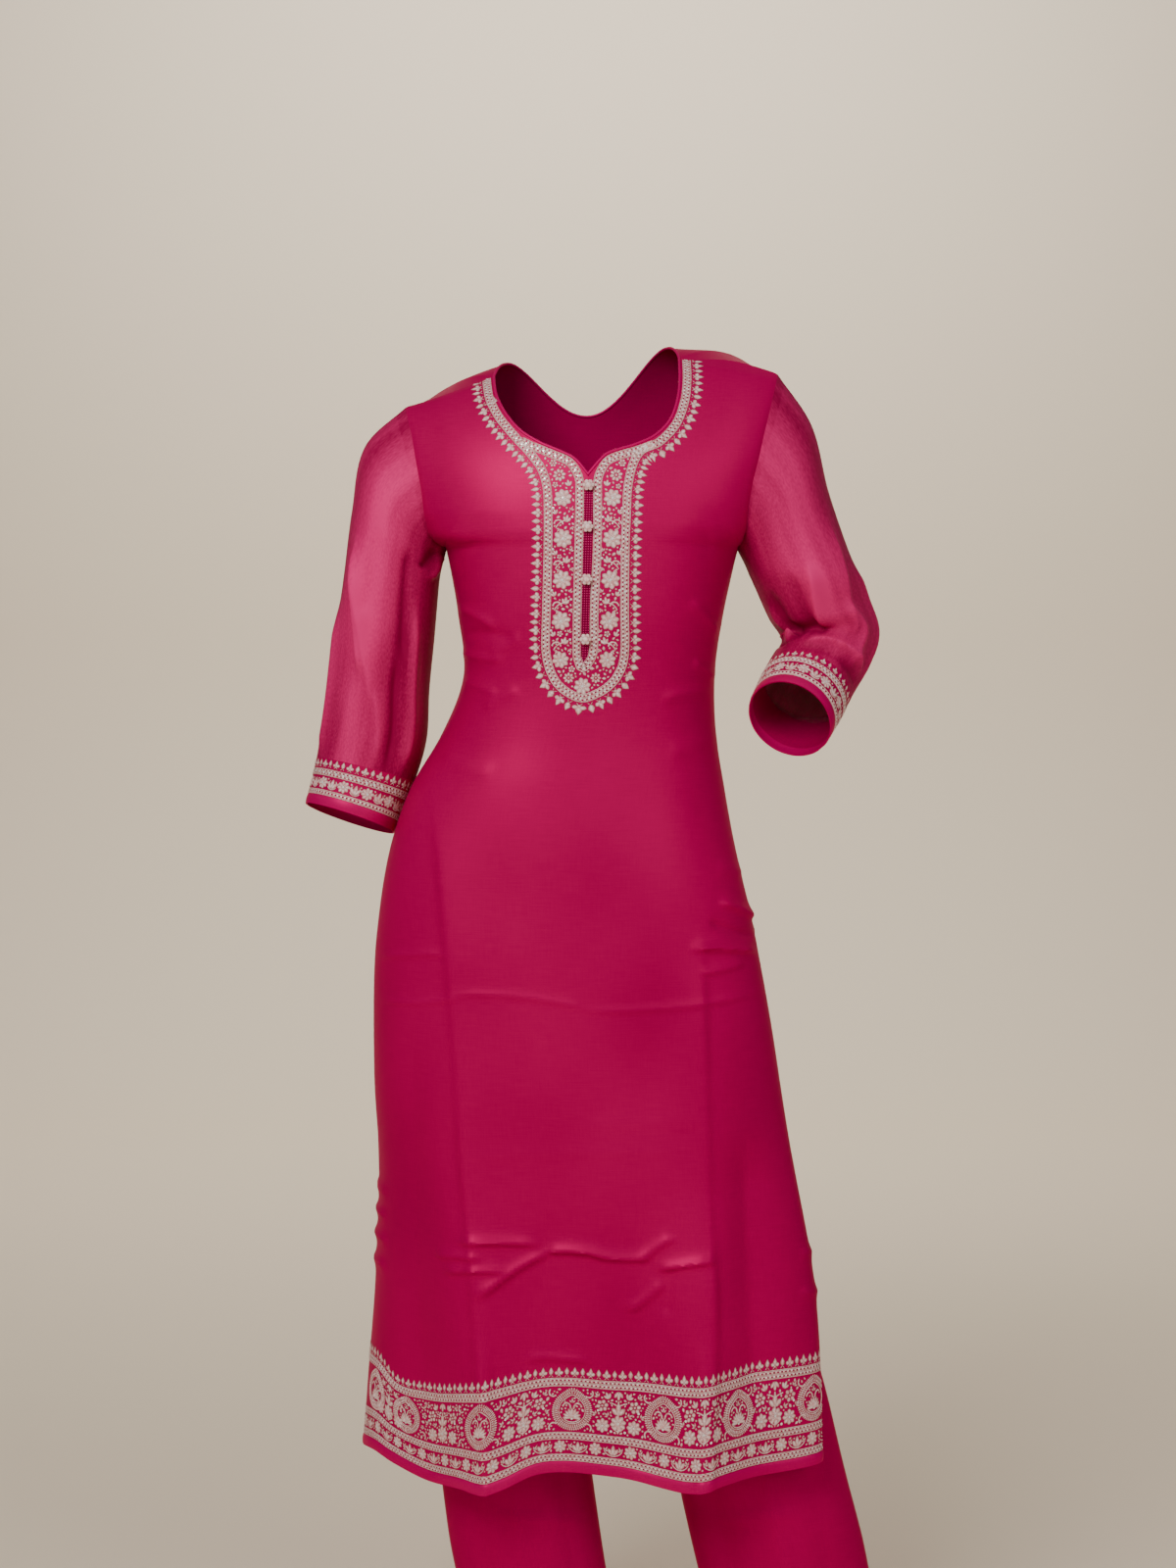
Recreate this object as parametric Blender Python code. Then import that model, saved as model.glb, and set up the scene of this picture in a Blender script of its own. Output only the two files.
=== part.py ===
"""A salwar kameez suit, worn: a straight kameez over straight trousers.

Metres, +Z up, -Y the front.  +X is the wearer's left side.  The origin is on the middle line,
level with where the shoulders hold it: 18 mm above the neck end of the right shoulder seam and
1 mm below the neck end of the left one.
Every cloth piece is first a sheet of points through its middle; the sheets that are sewn together
meet vertex to vertex, and each is then trimmed back by half the seam gap and given its thickness.
"""
import math

import bpy
import numpy as np
from mathutils import kdtree

# ---------------------------------------------------------------- driving sizes
CLOTH = 0.0012              # wall of the silk and of the sheer sleeves
BAND_CLOTH = 0.0016         # wall of the folded hem bands, cuff bands and waistband
GAP = 0.0003                # between pieces that are sewn together

CHEST_HEIGHT = -0.187       # level of the underarm points
SLIT_HEIGHT = -0.575        # top of the side slits
RIDGE_DEPTH = 0.012         # how far behind the origin the shoulder ridge runs
SEAM_DROP_NECK = 0.015      # the shoulder seam lies this far below the ridge, to the front
SEAM_DROP_TIP = 0.008
HEM_BAND = 0.0115           # depth of the plain band along the hem
UPPER_POWER = 2.2           # roundness of the chest as it rises to the shoulder
ARMHOLE_DEPTH = 0.12        # front-to-back depth of an armhole where a panel keeps its whole width

ARM_STEPS = 11              # mesh steps along each half of an armhole
COLLAR_STEPS = 7            # mesh steps from the neck edge to the armhole or chest line
FRONT_STEPS = 26            # mesh steps across the front
BACK_STEPS = 20             # mesh steps across the back
CURVE_POINTS = 241          # points on a smooth curve before it is spaced evenly
SHARPEST_CORNER = -0.5      # a corner sharper than this is trimmed back no further
SAME_POINT = 0.00005        # points of two sheets nearer than this are sewn together
LEAST_SHARED = 0.6          # seam normals that cancel below this are left as they are
INSIDE_ACROSS = 0.3         # the line inside the kameez that its faces point away from
INSIDE_BACK = 0.010
INSIDE_DROP = 0.020

NECK_RIGHT = -0.0956        # neck ends of the shoulder seams, across
NECK_LEFT = 0.0927
TIP_RIGHT = -0.0445         # arm ends of the shoulder seams, height
TIP_LEFT = -0.0110
TIP_REACH = 0.1850          # distance across of the right one; the left one follows its armhole
BACK_NECK_BOTTOM = -0.0480  # lowest point of the back neckline
BACK_NECK_ROUND = 1.5       # how fast the back neckline falls from the shoulders

PIPING_RADIUS = 0.0014
PIPING_SIDES = 5

INSERT_WIDTH = 0.0100                   # ribbed strip between the two inner braids
INSERT_THICKNESS = 0.0010
INSERT_END = -0.3080
BUTTON_RADIUS = 0.0058
BUTTON_THICKNESS = 0.0052
BUTTON_HEIGHTS = (-0.1290, -0.1710, -0.2220, -0.2800)
BUTTON_SIDES = 12
BUTTON_PROFILE = ((0.72, 0.0), (1.0, 0.28), (0.93, 0.62), (0.58, 0.92))   # reach and lift
CENTRE_TOP = 0.0005         # where the insert's middle lies across, at its top and its end
CENTRE_END = -0.0030

# The front and the back, one row for each level.  Edges are the side seams, or below the slits
# the panel's own free edges; centre is how far the middle of the panel stands forward (-) or
# back (+); square_* is the roundness of each side, 2 for an ellipse and more for a squarer side.
PANEL_COLUMNS = ("height", "right_x", "right_y", "left_x", "left_y", "centre",
                 "square_right", "square_left")
FRONT_LEVELS = (
    (-0.187, -0.1440, 0.006, 0.1515, 0.006, -0.1130, 2.3, 2.3),
    (-0.253, -0.1325, 0.006, 0.1375, 0.004, -0.1085, 2.2, 2.2),
    (-0.317, -0.1268, 0.006, 0.1290, 0.002, -0.0985, 2.2, 2.2),
    (-0.377, -0.1500, 0.008, 0.1305, 0.002, -0.0960, 2.2, 2.2),
    (-0.428, -0.1795, 0.010, 0.1388, 0.002, -0.0990, 2.2, 2.2),
    (-0.478, -0.1985, 0.012, 0.1478, 0.002, -0.1020, 2.2, 2.2),
    (-0.579, -0.2165, 0.016, 0.1705, 0.000, -0.1050, 2.2, 2.1),
    (-0.730, -0.2212, 0.030, 0.1963, -0.010, -0.1000, 2.2, 2.1),
    (-0.830, -0.2185, 0.039, 0.2135, -0.018, -0.0950, 2.1, 2.0),
    (-0.934, -0.2225, 0.048, 0.2310, -0.025, -0.0900, 2.1, 2.0),
    (-1.030, -0.2290, 0.056, 0.2380, -0.031, -0.0850, 2.0, 2.0),
    (-1.140, -0.2390, 0.065, 0.2410, -0.036, -0.0790, 1.9, 2.0),
)
BACK_LEVELS = (
    (-0.187, -0.1440, 0.006, 0.1515, 0.006, 0.0980, 2.5, 2.5),
    (-0.253, -0.1325, 0.006, 0.1375, 0.004, 0.0950, 2.4, 2.4),
    (-0.317, -0.1268, 0.006, 0.1290, 0.002, 0.0880, 2.3, 2.3),
    (-0.377, -0.1500, 0.008, 0.1305, 0.002, 0.0930, 2.2, 2.2),
    (-0.428, -0.1795, 0.010, 0.1388, 0.002, 0.1080, 2.2, 2.2),
    (-0.478, -0.1985, 0.012, 0.1478, 0.002, 0.1210, 2.2, 2.2),
    (-0.579, -0.2165, 0.016, 0.1705, 0.000, 0.1330, 2.2, 2.2),
    (-0.730, -0.2210, 0.046, 0.1940, 0.026, 0.1360, 2.3, 2.3),
    (-0.934, -0.2190, 0.066, 0.2180, 0.056, 0.1370, 2.3, 2.3),
    (-1.140, -0.2170, 0.080, 0.2260, 0.072, 0.1350, 2.3, 2.3),
)

# The hem's height across each panel, from the right edge to the left edge.
HEM_COLUMNS = ("across", "height")
FRONT_HEM = ((-1.0, -1.1210), (-0.68, -1.1240), (-0.33, -1.1330), (-0.03, -1.1085),
             (0.44, -1.1225), (1.0, -1.1180))
BACK_HEM = ((-1.0, -1.1230), (-0.50, -1.1330), (0.0, -1.1250), (0.50, -1.1320), (1.0, -1.1220))

# The largest folds: long soft ridges that run down a panel, pressed in when it lay folded.
FOLD_COLUMNS = ("panel", "top", "top_x", "middle", "middle_x", "bottom", "bottom_x",
                "rise_middle", "rise_bottom", "width")
FOLDS = (
    ("front", -0.430, -0.158, -0.780, -0.137, -1.150, -0.100, 0.007, 0.038, 0.046),
    ("front", -0.560, 0.116, -0.830, 0.123, -1.150, 0.112, 0.007, 0.038, 0.046),
    ("back", -0.600, -0.100, -0.860, -0.104, -1.150, -0.108, 0.006, 0.018, 0.050),
    ("back", -0.600, 0.090, -0.860, 0.098, -1.150, 0.104, 0.006, 0.018, 0.050),
)

# Levels of the mesh rows below the chest line.
ROW_LEVELS = (-0.187, -0.214, -0.248, -0.283, -0.318, -0.353, -0.390, -0.430, -0.478, -0.527,
              -0.575, -0.640, -0.715, -0.795, -0.875, -0.960, -1.045)

# Half of each armhole seen from the front: distance out from the body, and how much of the
# chest's half width the panel keeps there.  The rest of that width is the armhole's depth.
ARMHOLE_COLUMNS = ("height", "across", "kept")
ARMHOLE_RIGHT = ((-0.1870, 0.1440, 1.000), (-0.1830, 0.1535, 0.975), (-0.1760, 0.1595, 0.935),
                 (-0.1560, 0.1635, 0.885), (-0.1300, 0.1665, 0.860), (-0.1040, 0.1715, 0.850),
                 (-0.0750, 0.1770, 0.850), (-0.0445, 0.1850, 0.860), (-0.0300, 0.1850, 0.860))
ARMHOLE_LEFT = ((-0.1870, 0.1515, 1.000), (-0.1810, 0.1555, 0.975), (-0.1700, 0.1585, 0.930),
                (-0.1460, 0.1605, 0.880), (-0.1230, 0.1645, 0.860), (-0.0970, 0.1710, 0.850),
                (-0.0750, 0.1760, 0.850), (-0.0110, 0.1925, 0.860), (0.0040, 0.1925, 0.860))

# The top of the shoulders, and the front neck edge with its V notch.
RIDGE_COLUMNS = ("across", "height")
RIDGE = ((-0.20, -0.0400), (-0.185, -0.0365), (-0.0956, -0.0035), (0.0, 0.022),
         (0.0927, 0.0155), (0.145, 0.0125), (0.1925, -0.0030), (0.21, -0.009))

NECKLINE_COLUMNS = ("across", "height")
FRONT_NECKLINE = ((-0.0956, -0.0185), (-0.0942, -0.0292), (-0.0913, -0.0411), (-0.0821, -0.0589),
                  (-0.0674, -0.0763), (-0.0480, -0.0889), (-0.0287, -0.0974), (-0.0134, -0.1057),
                  (0.0, -0.1215),
                  (0.0124, -0.1067), (0.0220, -0.0990), (0.0479, -0.0906), (0.0672, -0.0811),
                  (0.0818, -0.0656), (0.0894, -0.0453), (0.0923, -0.0245), (0.0927, 0.0005))

# Sleeve rings: centre, the way the sleeve runs there, and half its width and depth.
SLEEVE_COLUMNS = ("x", "y", "z", "run_x", "run_y", "run_z", "half_width", "half_depth")
SLEEVE_RIGHT = (
    (-0.2015, 0.010, -0.217, -0.08, 0.06, -1.00, 0.0490, 0.0600),
    (-0.2085, 0.018, -0.277, -0.09, 0.05, -1.00, 0.0505, 0.0570),
    (-0.2145, 0.026, -0.327, -0.10, 0.02, -1.00, 0.0510, 0.0540),
    (-0.2210, 0.033, -0.377, -0.15, -0.06, -1.00, 0.0535, 0.0510),
    (-0.2325, 0.036, -0.4225, -0.27, -0.14, -1.00, 0.0515, 0.0490),
)
CUFF_RIGHT = (-0.2465, 0.0345, -0.4640, -0.33, -0.19, -1.00, 0.0480, 0.0475)
SLEEVE_LEFT = (
    (0.2213, 0.010, -0.214, 0.14, 0.10, -1.00, 0.0530, 0.0610),
    (0.2360, 0.026, -0.247, 0.24, 0.14, -1.00, 0.0505, 0.0575),
    (0.2480, 0.034, -0.2780, 0.02, -0.22, -0.97, 0.0480, 0.0545),
    (0.2360, 0.019, -0.3060, -0.25, -0.60, -0.76, 0.0455, 0.0515),
    (0.2190, -0.0060, -0.3340, -0.38, -0.70, -0.60, 0.0460, 0.0480),
)
CUFF_LEFT = (0.2030, -0.0350, -0.3600, -0.41, -0.72, -0.56, 0.0440, 0.0465)
# The crown: how far the sleeve's outer line stands out and up from a straight run, at parts of
# the way from the shoulder tip to the first ring.
CROWN_COLUMNS = ("part", "out", "up")
CROWN_RIGHT = ((0.25, 0.0230, 0.0065), (0.60, 0.0170, -0.0040))
CROWN_LEFT = ((0.25, 0.0130, 0.0010), (0.60, 0.0045, 0.0000))
SLEEVE_ROWS = 13            # mesh rows from the armhole to the cuff border
CUFF_HEM = 0.0110           # depth of the plain band at the wrist
UNDER_REACH = 1.8           # how far round the armhole the sleeve is eased under the panels
UNDER_START = 0.2
UNDER_DROP = 0.6            # how far down that easing points, against one outward

# The trouser legs, one row for each level: the middle of the leg and its half width and depth.
LEG_COLUMNS = ("height", "x", "y", "half_width", "half_depth")
LEG_RIGHT = (
    (-0.640, -0.0965, 0.012, 0.0820, 0.0800), (-0.760, -0.1010, 0.012, 0.0800, 0.0640),
    (-0.900, -0.1000, 0.012, 0.0780, 0.0560), (-1.040, -0.0860, 0.016, 0.0775, 0.0500),
    (-1.165, -0.0700, 0.018, 0.0770, 0.0480), (-1.365, -0.0400, 0.020, 0.0780, 0.0480),
)
LEG_LEFT = (
    (-0.640, 0.0655, 0.012, 0.0800, 0.0800), (-0.760, 0.0860, 0.014, 0.0810, 0.0640),
    (-0.900, 0.1210, 0.018, 0.0820, 0.0560), (-1.040, 0.1560, 0.021, 0.0830, 0.0500),
    (-1.165, 0.1830, 0.022, 0.0870, 0.0480), (-1.365, 0.2330, 0.024, 0.0880, 0.0480),
)
HIP_COLUMNS = ("height", "middle", "half_width", "front", "back")
HIPS = (
    (-0.640, -0.0160, 0.1640, -0.072, 0.098), (-0.560, -0.0180, 0.1600, -0.076, 0.104),
    (-0.470, -0.0180, 0.1440, -0.074, 0.088), (-0.400, -0.0025, 0.1305, -0.072, 0.072),
)
HIP_SQUARE = 2.3            # roundness of the hips, 2 for an ellipse
CROTCH_HEIGHT = -0.655
LEG_TOP = -0.640            # above this the leg's own section stays the same
CROTCH_OPENING = 0.7        # how fast the leg's section opens into the hips above the crotch
WAIST_HEIGHT = -0.400
WAISTBAND = 0.036
TROUSER_HEM = -1.365
LEG_STEPS = 18
LEG_ROWS_BELOW = 8
LEG_ROWS_ABOVE = 6

SILK = ((0.672, 0.0, 0.102), 0.42)          # base colour (linear) and roughness
SHEER = ((0.640, 0.010, 0.110), 0.55)
BAND = ((0.700, 0.004, 0.160), 0.45)
BORDER = ((0.640, 0.250, 0.200), 0.60)
THREAD = ((0.740, 0.520, 0.410), 0.50)
INSERT = ((0.520, 0.001, 0.085), 0.60)


# ---------------------------------------------------------------- small helpers
def smooth_value(table, columns, name, value):
    """Read a named column at a value of the first one, by a smooth curve through the rows."""
    rows = np.array(sorted(table), dtype=float)
    xs, ys = rows[:, 0], rows[:, columns.index(name)]
    slopes = np.gradient(ys, xs)
    value = np.clip(np.asarray(value, dtype=float), xs[0], xs[-1])
    i = np.clip(np.searchsorted(xs, value) - 1, 0, len(xs) - 2)
    span = xs[i + 1] - xs[i]
    t = (value - xs[i]) / span
    start = (2 * t**3 - 3 * t**2 + 1) * ys[i] + (t**3 - 2 * t**2 + t) * span * slopes[i]
    end = (3 * t**2 - 2 * t**3) * ys[i + 1] + (t**3 - t**2) * span * slopes[i + 1]
    return start + end


def level_values(table, columns, height):
    """All columns of a level table at one height, by name."""
    return {name: float(smooth_value(table, columns, name, height)) for name in columns}


def by_length(points, count):
    """Points of a polyline taken again at even distances along it."""
    steps = np.linalg.norm(np.diff(points, axis=0), axis=1)
    along = np.concatenate(([0.0], np.cumsum(steps)))
    wanted = np.linspace(0.0, along[-1], count)
    return np.stack([np.interp(wanted, along, points[:, k]) for k in range(points.shape[1])], 1)


def unit(vectors):
    """Vectors scaled to length one."""
    lengths = np.linalg.norm(vectors, axis=-1, keepdims=True)
    return vectors / np.maximum(lengths, 1e-12)


# ---------------------------------------------------------------- the kameez's form
def fold_rise(panel, x, z):
    """How far the panel's long folds lift it at points seen from the front."""
    rise = np.zeros_like(x)
    for row in FOLDS:
        fold = dict(zip(FOLD_COLUMNS, row))
        if fold["panel"] != panel:
            continue
        heights = (fold["bottom"], fold["middle"], fold["top"])
        line = np.interp(z, heights, (fold["bottom_x"], fold["middle_x"], fold["top_x"]))
        lift = np.interp(z, heights, (fold["rise_bottom"], fold["rise_middle"], 0.0))
        rise += lift * np.exp(-((x - line) / fold["width"]) ** 2)
    return rise


def panel_row(levels, panel, height, count):
    """One row across a panel at one height, from the right edge to the left, evenly spaced."""
    at = level_values(levels, PANEL_COLUMNS, height)
    if height >= SLIT_HEIGHT:
        sides = level_values(FRONT_LEVELS, PANEL_COLUMNS, height)
        at.update({key: sides[key] for key in ("right_x", "right_y", "left_x", "left_y")})
    middle = (at["right_x"] + at["left_x"]) / 2
    turn = np.linspace(0.0, math.pi / 2, CURVE_POINTS)
    halves = []
    for side in ("right", "left"):
        power = 2.0 / at["square_" + side]
        x = middle + (at[side + "_x"] - middle) * np.sin(turn) ** power
        y = at[side + "_y"] + (at["centre"] - at[side + "_y"]) * np.cos(turn) ** power
        halves.append(np.stack([x, y], 1))
    outline = np.concatenate([halves[0][::-1], halves[1][1:]])
    forward = -1.0 if panel == "front" else 1.0
    outline[:, 1] += forward * fold_rise(panel, outline[:, 0], np.full(len(outline), height))
    return by_length(outline, count)


def chest_depth(levels, x):
    """The depth of the chest line at a distance across, and beyond its ends the side seam's."""
    at = level_values(levels, PANEL_COLUMNS, CHEST_HEIGHT)
    middle = (at["right_x"] + at["left_x"]) / 2
    side = np.where(x < middle, at["right_x"], at["left_x"])
    side_y = np.where(x < middle, at["right_y"], at["left_y"])
    square = np.where(x < middle, at["square_right"], at["square_left"])
    part = np.clip(np.abs((x - middle) / (side - middle)), 0.0, 1.0)
    return side_y + (at["centre"] - side_y) * (1.0 - part**square) ** (1.0 / square)


def ridge_height(x):
    """Height of the top of the shoulders."""
    return smooth_value(RIDGE, RIDGE_COLUMNS, "height", x)


def armhole_value(table, name, z):
    """A named column of an armhole's table at a height, straight between its rows."""
    rows = np.array(table)
    return np.interp(z, rows[:, 0], rows[:, ARMHOLE_COLUMNS.index(name)])


def chest_place(x, z):
    """Where on the chest line a point of the upper body stands above, as a distance across."""
    at = level_values(FRONT_LEVELS, PANEL_COLUMNS, CHEST_HEIGHT)
    right = armhole_value(ARMHOLE_RIGHT, "kept", z) / armhole_value(ARMHOLE_RIGHT, "across", z)
    left = armhole_value(ARMHOLE_LEFT, "kept", z) / armhole_value(ARMHOLE_LEFT, "across", z)
    return np.where(x < 0, x * right * -at["right_x"], x * left * at["left_x"])


def upper_front(x, z):
    """The upper front: the chest line carried up and back to the shoulder ridge."""
    base = chest_depth(FRONT_LEVELS, chest_place(x, z))
    climb = np.clip((z - CHEST_HEIGHT) / (ridge_height(x) - CHEST_HEIGHT), 0.0, 1.0)
    arch = np.sqrt(np.maximum(1.0 - climb**UPPER_POWER, 0.0))
    return np.stack([x, RIDGE_DEPTH + (base - RIDGE_DEPTH) * arch, z], -1)


def front_seam(x):
    """Height of the shoulder seam, which lies just in front of the ridge."""
    drop = np.interp(np.abs(x), (NECK_LEFT, TIP_REACH), (SEAM_DROP_NECK, SEAM_DROP_TIP))
    return ridge_height(x) - drop


def seam_turn(x):
    """The angle over the ridge at which the shoulder seam lies: just past the top."""
    climb = (front_seam(x) - CHEST_HEIGHT) / (ridge_height(x) - CHEST_HEIGHT)
    return np.arcsin(climb ** (UPPER_POWER / 2))


def upper_back(x, h):
    """The upper back; h is 0 at the chest line and 1 at the shoulder seam, over the ridge."""
    turn = h * (math.pi - seam_turn(x))
    rise = ridge_height(x) - CHEST_HEIGHT
    z = CHEST_HEIGHT + rise * np.sin(turn) ** (2 / UPPER_POWER)
    place = chest_place(x, z)
    side = np.where(turn > math.pi / 2, chest_depth(FRONT_LEVELS, place),
                    chest_depth(BACK_LEVELS, place))
    y = RIDGE_DEPTH + (side - RIDGE_DEPTH) * np.abs(np.cos(turn))
    return np.stack([x, y, z], -1)


def back_h(x, z):
    """The h of a back point at a height, on the back side of the ridge."""
    climb = np.clip((z - CHEST_HEIGHT) / (ridge_height(x) - CHEST_HEIGHT), 0.0, 1.0)
    return np.arcsin(climb ** (UPPER_POWER / 2)) / (math.pi - seam_turn(x))


def armhole_heights(table, tip):
    """Heights of the armhole's mesh points, from the shoulder tip down to the underarm."""
    heights = np.linspace(tip, CHEST_HEIGHT, CURVE_POINTS)
    line = np.stack([armhole_value(table, "across", heights), heights,
                     armhole_value(table, "kept", heights) * ARMHOLE_DEPTH], 1)
    return by_length(line, ARM_STEPS + 1)[:, 1]


# ---------------------------------------------------------------- sheets of points
class Sheet:
    """A cloth piece as points through its middle, four-sided faces and outward normals."""

    def __init__(self, name, look, thickness=CLOTH):
        self.name, self.look, self.thickness = name, look, thickness
        self.points = np.zeros((0, 3))
        self.quads = []

    def add_grid(self, grid, around=False, top_row=None):
        """Add a grid of points; one that climbs from a row already there turns its faces over."""
        rows, columns = grid.shape[:2]
        index = np.zeros((rows, columns), dtype=int)
        first = 0
        if top_row is not None:
            index[0] = top_row
            first = 1
        fresh = grid[first:].reshape(-1, 3)
        index[first:] = len(self.points) + np.arange(len(fresh)).reshape(-1, columns)
        self.points = np.concatenate([self.points, fresh])
        for i in range(rows - 1):
            for j in range(columns if around else columns - 1):
                k = (j + 1) % columns
                quad = (index[i, j], index[i + 1, j], index[i + 1, k], index[i, k])
                self.quads.append(quad if top_row is None else tuple(reversed(quad)))
        return index

    def face_outward(self, centre):
        """Turn the faces so that their normals point away from a line of centres."""
        quads = np.array(self.quads)
        middles = self.points[quads].mean(1)
        away = middles - centre(middles)
        if np.sum(self.face_normals() * away) < 0:
            self.quads = [tuple(reversed(quad)) for quad in self.quads]
        self.normals = self.point_normals()

    def face_normals(self):
        """A vector square to each face, as long as twice its area."""
        corners = self.points[np.array(self.quads)]
        return np.cross(corners[:, 2] - corners[:, 0], corners[:, 3] - corners[:, 1])

    def point_normals(self):
        """The mean direction of the faces round each point."""
        normals = np.zeros_like(self.points)
        faces = self.face_normals()
        for corner in range(4):
            np.add.at(normals, np.array(self.quads)[:, corner], faces)
        return unit(normals)

    def border(self):
        """The edges that belong to one face only, in that face's order."""
        edges = {}
        for f, quad in enumerate(self.quads):
            for k in range(4):
                edges[(quad[k], quad[(k + 1) % 4])] = f
        return {edge: f for edge, f in edges.items() if (edge[1], edge[0]) not in edges}

    def trim(self, distance):
        """Move the border in along the sheet, keeping its corners square."""
        outward = {}
        for (a, b), f in self.border().items():
            middle = self.points[list(self.quads[f])].mean(0)
            along = unit(self.points[b] - self.points[a])
            away = (self.points[a] + self.points[b]) / 2 - middle
            away = unit(away - along * np.dot(away, along))
            outward.setdefault(a, []).append(away)
            outward.setdefault(b, []).append(away)
        for v, sides in outward.items():
            square = 1.0 + max(np.dot(sides[0], sides[1]), SHARPEST_CORNER)
            mitre = (sides[0] + sides[1]) / square
            self.points[v] -= distance * mitre

    def build(self):
        """Give the sheet its thickness and make its object."""
        lift = self.normals * self.thickness / 2
        count = len(self.points)
        points = np.concatenate([self.points + lift, self.points - lift])
        faces = [tuple(int(v) for v in quad) for quad in self.quads]
        faces += [tuple(int(v) + count for v in reversed(quad)) for quad in self.quads]
        for a, b in self.border():
            faces.append((int(b), int(a), int(a) + count, int(b) + count))
        return make_object(self.name, points, faces, self.look)


def inside_out(points, faces):
    """Whether a closed body's faces point into it, told by the sign of its volume."""
    volume = 0.0
    for face in faces:
        for k in range(1, len(face) - 1):
            volume += np.dot(points[face[0]], np.cross(points[face[k]], points[face[k + 1]]))
    return volume < 0


def make_object(name, points, faces, look):
    """A named object from points and faces, with its own material."""
    points = np.asarray(points)
    if inside_out(points, faces):
        faces = [tuple(reversed(face)) for face in faces]
    mesh = bpy.data.meshes.new(name)
    mesh.from_pydata([tuple(p) for p in points], [], faces)
    mesh.update()
    mesh.shade_smooth()
    mesh.set_sharp_from_angle(angle=math.radians(50))
    colour, roughness = look
    material = bpy.data.materials.new(name)
    material.use_nodes = True
    shader = material.node_tree.nodes["Principled BSDF"]
    shader.inputs["Base Color"].default_value = (*colour, 1.0)
    shader.inputs["Roughness"].default_value = roughness
    shader.inputs["Metallic"].default_value = 0.0
    mesh.materials.append(material)
    obj = bpy.data.objects.new(name, mesh)
    bpy.context.scene.collection.objects.link(obj)
    return obj


def share_seam_normals(sheets):
    """Where sheets meet along a seam, give the points that meet the same normal."""
    places = [(sheet, int(v)) for sheet in sheets for v in {v for e in sheet.border() for v in e}]
    tree = kdtree.KDTree(len(places))
    for k, (sheet, v) in enumerate(places):
        tree.insert(sheet.points[v], k)
    tree.balance()
    shared = []
    for sheet, v in places:
        meeting = [places[k] for _, k, _ in tree.find_range(sheet.points[v], SAME_POINT)]
        total = sum(other.normals[w] for other, w in meeting)
        facing_away = np.linalg.norm(total) < LEAST_SHARED
        shared.append(sheet.normals[v] if facing_away else unit(total))
    for (sheet, v), normal in zip(places, shared):
        sheet.normals[v] = normal


# ---------------------------------------------------------------- front and back
def lower_grid(levels, hem, panel, steps):
    """The panel below the chest line, down to the seam of its hem band, and the band's rows."""
    heights = np.array(ROW_LEVELS)
    across = np.linspace(-1.0, 1.0, steps + 1)
    hem_heights = smooth_value(hem, HEM_COLUMNS, "height", across)
    grid = []
    for height in heights:
        row = panel_row(levels, panel, height, steps + 1)
        grid.append(np.column_stack([row, np.full(steps + 1, height)]))
    last = heights[-1]
    for part in (0.5, 1.0):
        grid.append(hem_row(levels, panel, last + (hem_heights + HEM_BAND - last) * part))
    band = [grid[-1], hem_row(levels, panel, hem_heights)]
    return np.array(grid), np.array(band)


def hem_row(levels, panel, heights):
    """A row whose height changes across the panel."""
    count = len(heights)
    rows = [panel_row(levels, panel, height, count)[k] for k, height in enumerate(heights)]
    return np.column_stack([np.array(rows), heights])


def collar_grid(inner, outer, place, seam):
    """Rows between the neck edge and the outer edge, in the panel's flat plan, then placed."""
    parts = np.linspace(0.0, 1.0, COLLAR_STEPS + 1)[:, None, None]
    flat = inner[None] * (1 - parts) + outer[None] * parts
    for end in (0, -1):
        flat[:, end, 1] = seam(flat[:, end, 0])
    return place(flat[..., 0], flat[..., 1])


def outer_edge(chest_x, to_plan):
    """The outer edge in plan: down the right armhole, across the chest, up the left armhole."""
    right_z = armhole_heights(ARMHOLE_RIGHT, TIP_RIGHT)
    left_z = armhole_heights(ARMHOLE_LEFT, TIP_LEFT)[::-1]
    right_x = -armhole_value(ARMHOLE_RIGHT, "across", right_z)
    left_x = armhole_value(ARMHOLE_LEFT, "across", left_z)
    chest = np.stack([chest_x[1:-1], np.full(len(chest_x) - 2, CHEST_HEIGHT)], 1)
    edge = np.concatenate([np.stack([right_x, right_z], 1), chest, np.stack([left_x, left_z], 1)])
    return to_plan(edge)


def neck_edge_front(count):
    """The front neck edge: a round neck with a V notch, evenly spaced, keeping the notch's tip."""
    tip = len(FRONT_NECKLINE) // 2
    columns = ("mark",) + NECKLINE_COLUMNS
    halves = []
    for part in (FRONT_NECKLINE[:tip + 1], FRONT_NECKLINE[tip:]):
        table = [(mark, *place) for mark, place in enumerate(part)]
        marks = np.linspace(0, len(part) - 1, CURVE_POINTS)
        curve = [smooth_value(table, columns, name, marks) for name in NECKLINE_COLUMNS]
        halves.append(by_length(np.stack(curve, 1), count // 2 + 1))
    return np.concatenate([halves[0], halves[1][1:]])


def neck_edge_back(count):
    """The back neck edge in plan: a shallow round dip below the shoulder seams."""
    low = back_h(np.array([0.0]), np.array([BACK_NECK_BOTTOM]))[0]
    turn = np.linspace(-math.pi / 2, math.pi / 2, count)
    x = np.where(turn < 0, -np.sin(turn) * NECK_RIGHT, np.sin(turn) * NECK_LEFT)
    return np.stack([x, 1.0 - (1.0 - low) * np.maximum(np.cos(turn), 0.0) ** BACK_NECK_ROUND], 1)


def plan_of_back(edge):
    """Turn an edge seen from the front into the back's plan."""
    return np.stack([edge[:, 0], back_h(edge[:, 0], edge[:, 1])], 1)


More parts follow.
